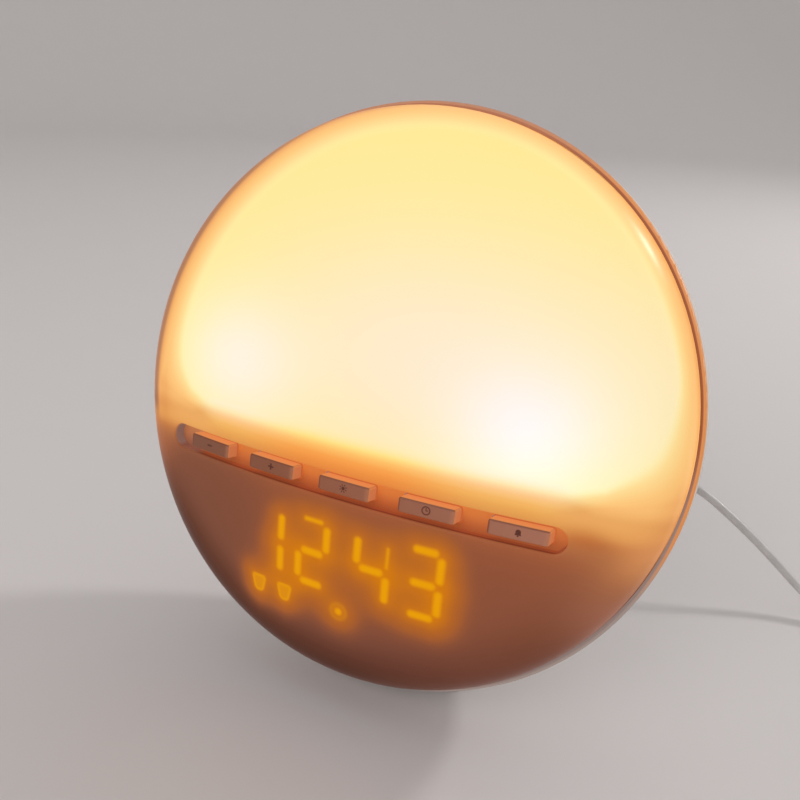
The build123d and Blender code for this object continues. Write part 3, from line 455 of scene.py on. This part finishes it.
class CLOCK_OT_cord(bpy.types.Operator):
    """Lay the power cord from its relief, down to the table and round its coil"""
    bl_idname = "sunrise.cord"
    bl_label = "Power Cord"

    def execute(self, context):
        body = context.scene.clock_body
        data = bpy.data.curves.new("cord_jacket", "CURVE")
        data.dimensions = "3D"
        spline = data.splines.new("NURBS")
        route = [*CORD_POINTS, *coil_route(), *TAIL_POINTS]
        spline.points.add(len(route) - 1)
        spline.points.foreach_set("co", np.c_[np.array(route), np.ones(len(route))].ravel())
        spline.order_u = 3
        spline.use_endpoint_u = True
        spline.resolution_u = data.render_resolution_u = data.resolution_u = 6
        data.bevel_depth = body.cord_diameter / 2
        data.bevel_resolution = 4
        data.use_fill_caps = True
        cord = add("cord_jacket", data)
        f = Finish("cord_jacket")
        scuff = f.noise(14.0, 4.0)
        fine = f.noise(0.6, 2.0)
        data.materials.append(f.done(
            Base_Color=f.mix(dimmed(body.cord, 0.86), list(body.cord), scuff.step(0.35, 0.65)),
            Roughness=0.38 + 0.16 * (scuff - 0.5), Normal=f.bump(fine, 0.01),
            Coat_Weight=0.08))
        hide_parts("power_cord", "cord_coil")
        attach(cord, "clock")
        return {"FINISHED"}


# The cover and what shows through it

# Each digit's middle in mm, how far it is raised, and its lit bars
DIGITS = (
    (-23.2, -0.6, "bc"), (-8.15, -0.2, "abged"), (10.3, 0.0, "fgbc"), (25.15, 0.35, "abgcd"))
DIGITS_Z = -42.5
BAR_X, BAR_Z = 4.45, 4.75            # from a digit's middle to its upright bars' middles
FLAT_BAR, UPRIGHT_BAR = (2.4, 0), (0, 2.65)       # half width and half height
WEAK_BARS = {(2, "b"): 0.75, (1, "a"): 0.5}       # by digit: mm that their light falls short
BADGES = ((-26.3, -58.3), (-17.1, -58.3))
SPOT = (1.2, -58.2)


def display_bars(x, z):
    """Distances in mm from the middle lines of the lit bars."""
    places = {"a": (0, 2 * BAR_Z), "g": (0, 0), "d": (0, -2 * BAR_Z), "f": (-BAR_X, BAR_Z),
              "b": (BAR_X, BAR_Z), "e": (-BAR_X, -BAR_Z), "c": (BAR_X, -BAR_Z)}
    bars = []
    for digit, (centre, lift, lit) in enumerate(DIGITS):
        for bar in lit:
            across, up = places[bar]
            half = FLAT_BAR if bar in "agd" else UPRIGHT_BAR
            away = capsule(x, z, (centre + across, DIGITS_Z + lift + up, *half), 0.0)
            weak = WEAK_BARS.get((digit, bar))
            bars.append(away + weak if weak else away)
    return bars


def fading(distance, reach):
    """1 at a source, falling away over about reach mm."""
    return (distance / -reach).exp()


def line_off(across, pitch):
    """Distance in mm from the nearest of parallel lines a pitch apart."""
    return abs(across % pitch - pitch / 2)


def dome_depth(x, y, z):
    """Depth in mm below the cover's dome."""
    back = y - DOME_CY
    return DOME_R - (x * x + back * back + z * z).sqrt()


def capsule(x, z, bar, radius):
    """Distance in mm from a bar's rounded outline."""
    x0, z0, half_x, half_z = bar
    across, up = abs(x - x0), abs(z - z0)
    if half_x:
        across = (across - half_x).most(0.0)
    if half_z:
        up = (up - half_z).most(0.0)
    return (across * across + up * up).sqrt() - radius


def ring(x, z, x0, z0, radius, width):
    """Distance in mm from a ring's line, less half its width."""
    across, up = x - x0, z - z0
    return abs((across * across + up * up).sqrt() - radius) - width / 2


def dot(x, z, x0, z0, radius):
    """Distance in mm from a disc."""
    across, up = x - x0, z - z0
    return (across * across + up * up).sqrt() - radius


def bell(x, z, x0, z0, size):
    """Distance in mm from a little bell: a dome, a flared skirt and a clapper."""
    across, up = abs(x - x0), z - z0
    crown = (across * across + (up - 0.1 * size) * (up - 0.1 * size)).sqrt() - 0.5 * size
    flare = across - (0.55 * size - 0.28 * (up + 0.4 * size))
    skirt = flare.most(abs(up + 0.12 * size) - 0.42 * size)
    clapper = dot(x, z, x0, z0 - 0.68 * size, 0.16 * size)
    return crown.least(skirt).least(clapper)


def sun(x, z, x0, z0, size):
    """Distance in mm from a small sun: a disc and a ring of eight short rays."""
    across, up = x - x0, z - z0
    reach = (across * across + up * up).sqrt()
    turn = up.angle_to(across) % (pi / 4)
    ray = abs(turn - pi / 8) * reach - 0.12 * size
    rays = ray.most(abs(reach - size) - 0.24 * size)
    return (reach - 0.5 * size).least(rays)


def badge(x, z, x0, z0):
    """Distance in mm from a small mark, wide at its top and rounded."""
    flare, half_wide, half_high, radius = 0.22, 0.8, 1.35, 1.35
    across, up = abs(x - x0), z - z0
    side = (across - flare * up - half_wide).most(0.0)
    end = (abs(up) - half_high).most(0.0)
    return (side * side + end * end).sqrt() - radius


class Cover(Finish):
    """The milky cover's material, zone by zone. Its places are mm in the disc's frame."""

    def __init__(self, glow):
        super().__init__("milky_cover")
        self.glow = glow
        self.x, self.y, self.z = self.disc()
        self.reach = (self.x * self.x + self.z * self.z).sqrt()
        self.end = (self.x - 60.0).most(-52.0 - self.x)      # how far past the key row's ends

    def lobe(self, x0, z0, wide, high):
        """A soft spot of 1 in its middle."""
        across, up = (self.x - x0) / wide, (self.z - z0) / high
        return (0 - (across * across + up * up)).exp()

    def dome(self):
        """The lit dome's colour: warm white, with the spots of its two lamps."""
        lobe = self.lobe
        return self.colour(
            0.99,
            0.814 + 0.178 * lobe(49.4, -9.0, 23.7, 28.2) + 0.085 * lobe(-47.6, 4.3, 33.4, 23.6),
            0.301 + 0.367 * lobe(46.2, 1.6, 18.1, 16.4) + 0.322 * lobe(-42.1, 4.6, 21.6, 17.0)
            + 0.311 * lobe(26.9, 15.0, 70.6, 33.1))

    def rim(self):
        """How far into the rim a point is, from about -2 to 1.7, and the rim's colour there.

        The light thins towards the rolled edge, most at the upper left and low down.
        """
        x, z, end = self.x, self.z, self.end
        bright_side = radians(20)
        toward = (x * cos(bright_side) + z * sin(bright_side)) / self.reach.most(1.0)
        away = (1 - toward) * 0.5
        near = z.step(25.0, 5.0)
        start, sooner = 82.1, 11.0               # where the rim starts, and how far that moves in
        past = self.reach - start + sooner * away.step(0.1, 0.95) + 0.2 * near
        edge = past / (1.5 + 2.0 * (away * 3).least(1.0) + 0.8 * near * toward.step(0.2, 0.8))
        # Low down at both ends the rim and the divider's dusk meet in one rounded corner
        soft = 2.5 + ((end - 6.0) * 0.3).most(0.0).least(3.5)
        corner = ((0.34 * end - 12.4 - z) / soft).least(0.4)
        edge = (edge.least(0.0).exp() + corner.exp()).log().most(edge)
        rim = edge.ramp((-1.6, srgb(254, 237, 168)), (-0.9, srgb(254, 222, 150)),
                        (0.0, srgb(252, 201, 126)), (0.5, srgb(249, 190, 115)),
                        (0.9, srgb(240, 174, 102)), (1.15, srgb(222, 157, 97)),
                        (1.35, srgb(188, 129, 84)), (1.7, srgb(168, 113, 79)))
        # Round the left of the roll, past its darkest line, the side wall glows a plain orange
        ahead = 0 - self.facing(DISC_BACK)
        wall = ahead.step(0.6, 0.36) * toward.step(0.3, -0.1)
        return edge, self.mix(rim, srgb(202, 131, 80), wall)

    def divider(self, edge, rim):
        """The colour along the divider's edge, where the light falls away in a few mm."""
        x, z, end = self.x, self.z, self.end
        fall = z.ramp(
            (-28.0, srgb(158, 88, 56)), (-20.0, srgb(214, 118, 56)), (-16.0, srgb(238, 147, 67)),
            (-14.0, srgb(248, 163, 78)), (-12.0, srgb(252, 191, 102)),
            (-10.0, srgb(254, 226, 133)), (-8.0, srgb(254, 233, 162)))
        paler = self.mix(self.times(fall, 0.95, 1.3, 1.6), self.times(fall, 1.0, 1.05, 1.8),
                         z.step(-15.0, -11.0))
        fall = self.mix(fall, paler, abs(x).step(10, 40))
        fall = self.mix(fall, self.times(fall, 0.86, 0.82, 0.86),
                        end.step(2.0, 10.0) * z.step(-17.0, -21.0))
        ends = end.step(-12.0, 2.0) * edge.step(-1.8, 0.2) * z.step(-22.0, -14.0)
        return self.mix(fall, self.times(rim, 0.86, 0.75, 0.66), ends)

    def lit(self):
        """The colour of the lit part, down to the divider."""
        edge, rim = self.rim()
        lit = self.mix(self.dome(), rim, edge.step(-2.0, -0.7))
        lit = self.mix(self.divider(edge, rim), lit,
                       (self.z + 3.5 * self.end.step(-6.0, 6.0)).step(-11.0, -6.0))
        # A painted dimmer spot in the glow, low on the right by the divider
        return self.mix(lit, self.times(lit, 0.80, 0.66, 0.64), self.lobe(63.5, -20, 7, 3.5))

    def dusk(self):
        """Painted dim light below the divider: a dim salmon, with painted shade to the left and by
        the low rim.
        """
        x, z, lobe = self.x, self.z, self.lobe
        low = z.ramp((-70.0, srgb(112, 69, 56)), (-60.0, srgb(122, 73, 56)),
                     (-48.0, srgb(134, 79, 56)), (-36.0, srgb(141, 81, 55)),
                     (-30.0, srgb(149, 84, 55)), (-25.5, srgb(166, 93, 56)))
        low = self.mix(low, list(self.glow.dusk), 0.25)
        low = self.mix(low, srgb(116, 73, 56), x.step(-5.0, -48.0) * 0.62)
        low = self.mix(low, srgb(80, 44, 31),
                       self.reach.step(62.0, 79.0) * (1 - 0.62 * x.step(-4.0, 46.0))
                       * (z - x * 0.15).step(-14.0, -44.0))
        # Painted spots of light: orange by the right rim, pinkish lower on the right, orange at
        # the left end
        low = self.mix(low, srgb(196, 127, 76), lobe(82, -22, 15, 18))
        low = self.mix(low, srgb(166, 108, 88), lobe(74, -42, 12, 12) * 0.55)
        return self.mix(low, srgb(172, 104, 66), lobe(-72, -22, 8, 9))

    def display(self, low):
        """The digits and marks over the dusk: their colour with its haze, and their own light."""
        x, z = self.x, self.z
        bars = display_bars(x, z)
        badges = [badge(x, z, *place) for place in BADGES]
        spot = dot(x, z, *SPOT, 0.0)
        haze_reach, badge_reach = 3.0, 2.6
        nearest, mark = bars[0], badges[0].least(badges[1])
        spread = fading(bars[0], haze_reach)
        for bar in bars[1:]:
            nearest = nearest.least(bar)
            spread = spread + fading(bar, haze_reach)
        # The cover blurs each into an amber haze, stronger low down
        spread = spread * (1.27 + 0.38 * z.step(-30.0, -50.0)) + fading(spot, haze_reach) * 2.0
        for source in badges:
            spread = spread + fading(source.most(0.0), badge_reach) * 1.2
        haze = 1 - (0 - spread).exp()
        amber = haze.ramp(
            (0.1, srgb(150, 86, 52)), (0.5, srgb(178, 100, 36)), (0.9, srgb(208, 121, 8)))
        low = self.mix(low, amber, haze.step(0.0, 0.35))
        outline = abs(mark + 0.35).step(0.9, 0.0)
        shine = (nearest.step(1.8, 0.25).most(mark.step(0.35, -0.45) * 0.5 + outline * 0.28)
                 .most(spot.step(1.8, 0.2) * 0.95)
                 .most(ring(x, z, *SPOT, 2.3, 0.4).step(0.9, -0.2) * 0.2))
        return self.mix(low, list(self.glow.digits), shine), shine

    def recess(self):
        """Depth in mm below the dome, whether a point is in the recess, and its colour there, of
        painted glow and shade.
        """
        x, z = self.x, self.z
        depth = dome_depth(x, self.y, z)
        walls = capsule(x, z, RECESS, RECESS_HALF)
        inside = depth.step(0.30, 0.95) * walls.step(0.6, 0.2)
        # Painted glow in the recess, darker low down and paler towards its ends
        well = z.ramp((RECESS_Z - 3.6, srgb(178, 92, 52)), (RECESS_Z - 1.4, srgb(203, 109, 57)),
                      (RECESS_Z + 0.6, srgb(221, 128, 63)), (RECESS_Z + 2.6, srgb(234, 144, 71)))
        well = self.mix(well, srgb(206, 134, 84), abs(x).step(20, 58) * 0.3)
        # Painted shade: the recess's left end is dimmer
        dim = z.ramp((RECESS_Z - 3.6, srgb(146, 96, 80)), (RECESS_Z + 2.0, srgb(204, 134, 88)))
        well = self.mix(well, dim, x.step(-53.5, -57.5) * 0.85)
        # Painted shadow: a dark line along the lower wall, under the keys
        sill = self.mix(srgb(128, 58, 38), srgb(170, 88, 52), depth.step(1.0, 2.8))
        sill = self.mix(sill, srgb(148, 97, 80), x.step(-51.0, -56.0))
        well = self.mix(well, sill, self.facing(DISC_UP).step(0.3, 0.8))
        # Painted light: the left end's wall, facing right, takes a grey-lilac light
        well = self.mix(well, srgb(156, 124, 114), self.facing(DISC_X).step(0.25, 0.7))
        # Painted shade: a dark line round the recess's right end
        corner = walls.step(-0.7, -0.2) * x.step(56.5, 58.5)
        return depth, inside, self.mix(well, srgb(152, 80, 56), corner * 0.7)


class CLOCK_OT_cover(bpy.types.Operator):
    """Finish the milky cover: the lit dome, its orange rim, the dusk below and the digits"""
    bl_idname = "sunrise.cover"
    bl_label = "Glowing Cover"

    def execute(self, context):
        glow = context.scene.clock_glow
        f = Cover(glow)
        below = f.z.step(-19.5, -27.5)
        low, shine = f.display(f.dusk())
        shade = f.mix(f.lit(), low, below)
        # A painted spot of orange glow on the right, by the divider
        shade = f.mix(shade, srgb(222, 150, 92), f.lobe(80, -22, 8, 7) * 0.75)
        depth, inside, well = f.recess()
        shade = f.mix(shade, well, inside)

        # Each zone gives a share of its own light: the lamps and digits most, the dusk least
        lamp_lit = (1 - below) * (1 - inside)
        shine = shine * below * (1 - inside)
        gap = depth.step(4.05, 4.3) * inside
        bright = 0.48 + 0.29 * lamp_lit - 0.08 * inside + 0.36 * shine + 0.26 * gap
        skin = f.scaled(shade, (0.80 - 0.44 * lamp_lit) * (1 - shine * 0.8))
        wave = f.noise(30.0, 2.0)
        fine = f.noise(0.5, 2.0)
        wear(f.done(
            Base_Color=skin, Emission_Color=f.scaled(shade, bright * glow.strength),
            Emission_Strength=1.0, Roughness=0.30 + 0.06 * (fine - 0.5),
            Specular_IOR_Level=0.08, Normal=f.bump(wave, 0.02)), "front_cover")
        return {"FINISHED"}


def key_mark(name, x, z):
    """Distance in mm from a key's mark, round the key's own middle."""
    x = x - KEY_X[name]
    z = z - RECESS_Z
    if name in ("minus", "plus"):
        half, radius = 0.75, 0.22
        bar = capsule(x, z, (0, 0, half, 0), radius)
        return bar if name == "minus" else bar.least(capsule(x, z, (0, 0, 0, half), radius))
    if name == "light":
        return sun(x, z, 0.0, 0.0, 0.95)
    if name == "time":
        radius = 0.12
        long_hand = capsule(x, z, (0, 0.33, 0, 0.3), radius)
        short_hand = capsule(x, z, (0.25, 0, 0.22, 0), radius)
        return ring(x, z, 0.0, 0.0, 1.05, 0.28).least(long_hand.least(short_hand))
    return bell(x, z, 0.0, 0.0, 1.35)


class CLOCK_OT_keys(bpy.types.Operator):
    """Finish the five keys: warm caps lit from above, each with its own plain mark"""
    bl_idname = "sunrise.keys"
    bl_label = "Keys"

    def execute(self, context):
        for name in KEYS:
            f = Finish("key_" + name)
            x, y, z = f.disc()
            back, up, right = f.facing(DISC_BACK), f.facing(DISC_UP), f.facing(DISC_X)
            # Painted glow on the faces, lighter towards the right
            face = (x + (z - RECESS_Z) * 0.5).ramp(
                (-56.0, srgb(138, 86, 62)), (-24.0, srgb(148, 90, 64)), (0.0, srgb(163, 101, 74)),
                (24.0, srgb(169, 108, 82)), (56.0, srgb(184, 122, 98)))
            # Painted light on the top and right sides, the top brightest
            side = f.mix(srgb(228, 138, 88), srgb(240, 158, 94), up.step(0.1, 0.8))
            lit = up.step(0.6, 0.97).most(right.step(0.35, 0.85))
            depth = dome_depth(x, y, z)
            # Its top and left edges are painted dark as shade, and its right end gets painted
            # light from the lamp
            shaded_edge = (z - RECESS_Z).step(1.35, 1.8).most((x - KEY_X[name]).step(-7.0, -7.5))
            soft = (x - KEY_X[name]).step(5.9, 7.4)
            face = f.mix(face, srgb(206, 134, 96), soft * 0.45)
            shade = f.mix(face, srgb(128, 66, 46), shaded_edge * depth.step(0.5, 0.1) * 0.75)
            shade = f.mix(shade, side, lit)
            mark = key_mark(name, x, z).step(0.12, -0.08)
            shade = f.mix(shade, srgb(88, 36, 20), mark * back.step(-0.7, -0.9) * 0.92)
            # Its flange and stem are painted with the orange glow from inside the clock
            sunk = depth.step(3.6, 4.1)              # its flange and stem, inside the clock
            shade = f.mix(shade, srgb(186, 100, 54), sunk)
            fine = f.noise(0.4, 2.0)
            wear(f.done(
                Base_Color=f.scaled(shade, 0.60 - 0.2 * lit),
                Emission_Color=f.scaled(shade, (0.32 + 0.20 * lit).most(0.75 * sunk)),
                Emission_Strength=1.0, Roughness=0.34 + 0.1 * (fine - 0.5),
                Specular_IOR_Level=0.35, Normal=f.bump(fine, 0.006)), "button_" + name)
        return {"FINISHED"}


class CLOCK_OT_housing(bpy.types.Operator):
    """Finish the rear housing and its door: white moulding, with the lamp's light on its lip"""
    bl_idname = "sunrise.housing"
    bl_label = "Rear Housing"

    def execute(self, context):
        white = list(context.scene.clock_body.housing)
        f = Finish("white_housing")
        x, y, z = f.disc()
        reach = (x * x + z * z).sqrt()
        cloud = f.noise(16.0, 4.0)
        fine = f.noise(0.35, 2.0)
        warm = [white[0], white[1] * 0.97, white[2] * 0.93, 1.0]
        base = f.mix(warm, white, cloud.step(0.3, 0.7))
        # Light leaks onto the lip, as a dark inner line and a bright outer one. Both are paler
        # at the left and the top, and grey low down
        lip = y.step(2.4, 0.9)
        up = z / reach.most(1.0)
        left = (x / reach.most(1.0)).step(0.2, -0.4)
        inner = f.mix(srgb(150, 70, 8), srgb(170, 98, 56), up.step(0.8, 1.0).most(left))
        outer = f.mix(srgb(226, 144, 74), srgb(192, 128, 92), up.step(0.75, 1.0).most(left))
        inner = f.mix(srgb(150, 130, 124), inner, up.step(-0.22, 0.12))
        outer = f.mix(srgb(165, 146, 138), outer, up.step(-0.48, -0.2))
        leak = f.mix(inner, outer, reach.step(83.95, 84.35))
        wear(f.done(
            Base_Color=f.mix(base, f.scaled(leak, 0.55), lip * 0.95),
            Emission_Color=f.scaled(leak, lip * 0.5), Emission_Strength=1.0,
            Roughness=0.46 + 0.12 * (fine - 0.5), Normal=f.bump(fine, 0.014)),
            "rear_housing", "battery_door")
        return {"FINISHED"}


class CLOCK_OT_feet(bpy.types.Operator):
    """Finish the rubber feet"""
    bl_idname = "sunrise.feet"
    bl_label = "Feet"

    def execute(self, context):
        wear(mottled("foot_rubber", (0.018, 0.018, 0.019), (0.045, 0.044, 0.043),
                     0.5, 0.78, 0.15, 0.03, 3.0), "foot_pads")
        return {"FINISHED"}


class CLOCK_OT_ends(bpy.types.Operator):
    """Finish the cord's plug, relief, tie and USB end"""
    bl_idname = "sunrise.ends"
    bl_label = "Cord Ends"

    def execute(self, context):
        white = list(context.scene.clock_body.cord)
        wear(moulded("plug_grip", white, 0.42, 0.5, 0.02), "plug_body", "strain_relief",
             "usb_plug_body", "usb_plug_tongue")
        wear(metal("plug_nickel", (0.72, 0.70, 0.66, 1.0), 0.2, (1, 8, 1)),
             "plug_barrel", "usb_plug_shell", "cell_contact")
        f = Finish("tie_loops")
        loops = f.cells(0.5)
        wear(f.done(
            Base_Color=f.mix((0.03, 0.03, 0.032, 1), (0.09, 0.09, 0.095, 1), loops.step(0.1, 0.7)),
            Roughness=0.9, Sheen_Weight=0.35, Normal=f.bump(loops, 0.12)), "cord_tie")
        return {"FINISHED"}


class CLOCK_OT_speaker(bpy.types.Operator):
    """Finish the loudspeaker: pressed basket, magnet, treated paper cone and foam gasket"""
    bl_idname = "sunrise.speaker"
    bl_label = "Loudspeaker"

    def execute(self, context):
        wear(metal("speaker_basket", (0.30, 0.30, 0.31, 1.0), 0.4, (1, 1, 1)),
             "speaker_frame", "speaker_magnet")
        wear(mottled("paper_cone", (0.020, 0.020, 0.022), (0.055, 0.053, 0.052),
                     0.9, 0.72, 0.2, 0.06, 6.0), "speaker_cone")
        f = Finish("gasket_foam")
        pores = f.cells(0.7)
        foam = f.mix((0.012, 0.012, 0.013, 1), (0.06, 0.06, 0.06, 1), pores.step(0.1, 0.6))
        wear(f.done(
            Base_Color=foam, Roughness=0.95, Normal=f.bump(pores, 0.2)), "speaker_gasket")
        return {"FINISHED"}


class CLOCK_OT_electronics(bpy.types.Operator):
    """Finish the boards, parts, lamps, leads, reflector and cell inside the housing"""
    bl_idname = "sunrise.electronics"
    bl_label = "Electronics"

    def execute(self, context):
        f = Finish("board_green")
        x, _, z = f.disc()
        lane_x, lane_z = 2.0, 2.6
        lanes = line_off(x, lane_x).least(line_off(z, lane_z)).step(0.42, 0.30)
        patch = f.noise(6.0, 0.0).step(0.47, 0.53)
        trace = lanes * patch
        vias = (line_off(x, 2 * lane_x) + line_off(z, 2 * lane_z)).step(0.75, 0.55)
        mask = f.mix((0.012, 0.10, 0.042, 1), (0.030, 0.19, 0.085, 1), trace)
        wear(f.done(
            Base_Color=f.mix(mask, (0.62, 0.58, 0.50, 1), vias), Metallic=vias * 0.9,
            Roughness=0.34 - 0.1 * vias, Normal=f.bump(trace, 0.05)),
            "front_board", "light_boards", "main_board")

        wear(mottled("chip_black", (0.012, 0.012, 0.014), (0.03, 0.03, 0.033),
                     0.3, 0.6, 0.2, 0.02), "main_board_chips")
        wear(metal("can_metal", (0.62, 0.64, 0.68, 1.0), 0.3), "capacitors")
        wear(metal("screw_steel", (0.56, 0.55, 0.52, 1.0), 0.32, (1, 1, 1)),
             "board_screws", "speaker_screws", "housing_screws")
        wear(moulded("switch_black", (0.022, 0.022, 0.024, 1.0), 0.5), "tact_switches", "dc_jack",
             *("switch_plunger_" + name for name in KEYS))
        wear(moulded("display_black", (0.035, 0.035, 0.038, 1.0), 0.4), "display_module")
        wear(moulded("holder_black", (0.025, 0.025, 0.027, 1.0), 0.55), "cell_holder")
        wear(moulded("tray_white", (0.82, 0.82, 0.80, 1.0), 0.55), "reflector_tray")
        wear(metal("cell_steel", (0.70, 0.70, 0.68, 1.0), 0.22, (8, 1, 1)), "coin_cell")

        f = Finish("ribbon")
        ways = line_off(f.along(DISC_X, CENTRE), 1.27).step(0.10, 0.22)
        wear(f.done(
            Base_Color=f.mix((0.20, 0.21, 0.23, 1), (0.62, 0.63, 0.65, 1), ways),
            Roughness=0.45, Normal=f.bump(ways, 0.12)), "display_ribbon")

        wear(mottled("lead_insulation", (0.36, 0.020, 0.015), (0.50, 0.035, 0.025),
                     0.8, 0.4, 0.1, 0.01), "speaker_leads", "lamp_leads")

        f = Finish("lamp_white")
        phosphor = f.cells(0.5)
        warm = f.mix((1.0, 0.72, 0.28, 1), (1.0, 0.86, 0.55, 1), phosphor.step(0.1, 0.6))
        wear(f.done(
            Base_Color=warm, Emission_Color=warm, Emission_Strength=1.0, Roughness=0.3),
            "white_leds", "colour_leds")
        f = Finish("display_amber")
        cloud = f.noise(1.2, 2.0)
        amber = f.mix((0.85, 0.36, 0.004, 1), (1.0, 0.46, 0.01, 1), cloud)
        wear(f.done(
            Base_Color=amber, Emission_Color=amber, Emission_Strength=1.0, Roughness=0.35),
            "display_segments")
        return {"FINISHED"}


# Stage

def turned(name, profile, steps=96):
    """A surface of revolution: each (radius, height) of the profile, turned round Z in steps."""
    radius, height = np.array(profile, float).T
    turn = np.linspace(0, 2 * pi, steps, endpoint=False)
    grid = np.stack([
        np.outer(radius, np.cos(turn)), np.outer(radius, np.sin(turn)),
        np.outer(height, np.ones(steps))], axis=-1)
    rows = len(radius)
    index = np.arange(rows * steps).reshape(rows, steps)
    after = np.roll(index, -1, axis=1)
    faces = np.stack([index[:-1], index[1:], after[1:], after[:-1]], axis=-1).reshape(-1, 4)
    mesh = bpy.data.meshes.new(name)
    mesh.from_pydata(grid.reshape(-1, 3), [], faces)
    mesh.update()
    mesh.shade_smooth()
    return add(name, mesh)


def lamp(name, place, aim, size, power, colour):
    """A square soft lamp at a place, facing another."""
    data = bpy.data.lights.new(name, "AREA")
    data.shape, data.size, data.energy, data.color = "SQUARE", size, power, colour
    made = add(name, data)
    made.location = place
    made.rotation_euler = (Vector(aim) - Vector(place)).to_track_quat("-Z", "Y").to_euler()


class CLOCK_OT_stage(bpy.types.Operator):
    """Set the clock on a pale floor that curves up into a backdrop, under soft light"""
    bl_idname = "sunrise.stage"
    bl_label = "Stage"

    def execute(self, context):
        stage = context.scene.clock_stage
        # In metres: the floor's radius, that of the curve at its edge, and the backdrop's height
        flat, bend, top = 1.7, 0.7, 1.6
        curve = [(flat + bend * sin(t), bend * (1 - cos(t))) for t in np.linspace(0, pi / 2, 13)]
        floor = turned("stage_floor", [
            (0.0001, 0.0), (0.5, 0.0), (1.2, 0.0), *curve, (flat + bend, top)])
        f = Finish("stage_paper")
        tooth = f.noise(40.0, 4.0)
        floor.data.materials.append(f.done(
            Base_Color=f.mix(dimmed(stage.floor, 0.985), list(stage.floor), tooth),
            Roughness=0.85))

        world = bpy.data.worlds.new("studio")
        world.use_nodes = True
        background = world.node_tree.nodes["Background"]
        background.inputs["Color"].default_value = (1.0, 0.985, 0.97, 1.0)
        background.inputs["Strength"].default_value = 0.55
        context.scene.world = world

        middle = (0.0, 0.0, 0.08)
        lamp("key_lamp", (0.83, 1.07, 0.85), middle, 0.17, stage.key_power, (1.0, 0.97, 0.94))
        lamp("fill_lamp", (-0.35, -1.5, 1.0), middle, 1.2, stage.fill_power, (1.0, 0.97, 0.95))
        context.scene.view_settings.view_transform = "Standard"
        return {"FINISHED"}


OPERATORS = (
    CLOCK_OT_camera, CLOCK_OT_cord, CLOCK_OT_cover, CLOCK_OT_keys, CLOCK_OT_housing,
    CLOCK_OT_feet, CLOCK_OT_ends, CLOCK_OT_speaker, CLOCK_OT_electronics, CLOCK_OT_stage,
)
SETTINGS = {"clock_glow": ClockGlow, "clock_body": ClockBody, "clock_stage": ClockStage}


class CLOCK_PT_panel(bpy.types.Panel):
    """The clock's settings and the steps that make it"""
    bl_idname = "CLOCK_PT_panel"
    bl_label = "Sunrise Alarm Clock"
    bl_space_type = "VIEW_3D"
    bl_region_type = "UI"
    bl_category = "Clock"

    def draw(self, context):
        for group, kind in SETTINGS.items():
            box = self.layout.box()
            for setting in kind.__annotations__:
                box.prop(getattr(context.scene, group), setting)
        for operator in OPERATORS:
            self.layout.operator(operator.bl_idname)


def register():
    for kind in (*SETTINGS.values(), *OPERATORS, CLOCK_PT_panel):
        bpy.utils.register_class(kind)
    for group, kind in SETTINGS.items():
        setattr(bpy.types.Scene, group, PointerProperty(type=kind))


def unregister():
    for group in SETTINGS:
        delattr(bpy.types.Scene, group)
    for kind in (CLOCK_PT_panel, *reversed(OPERATORS), *reversed(SETTINGS.values())):
        bpy.utils.unregister_class(kind)


def main():
    register()
    for operator in OPERATORS:
        group, name = operator.bl_idname.split(".")
        getattr(getattr(bpy.ops, group), name)()


if __name__ == "__main__":
    main()
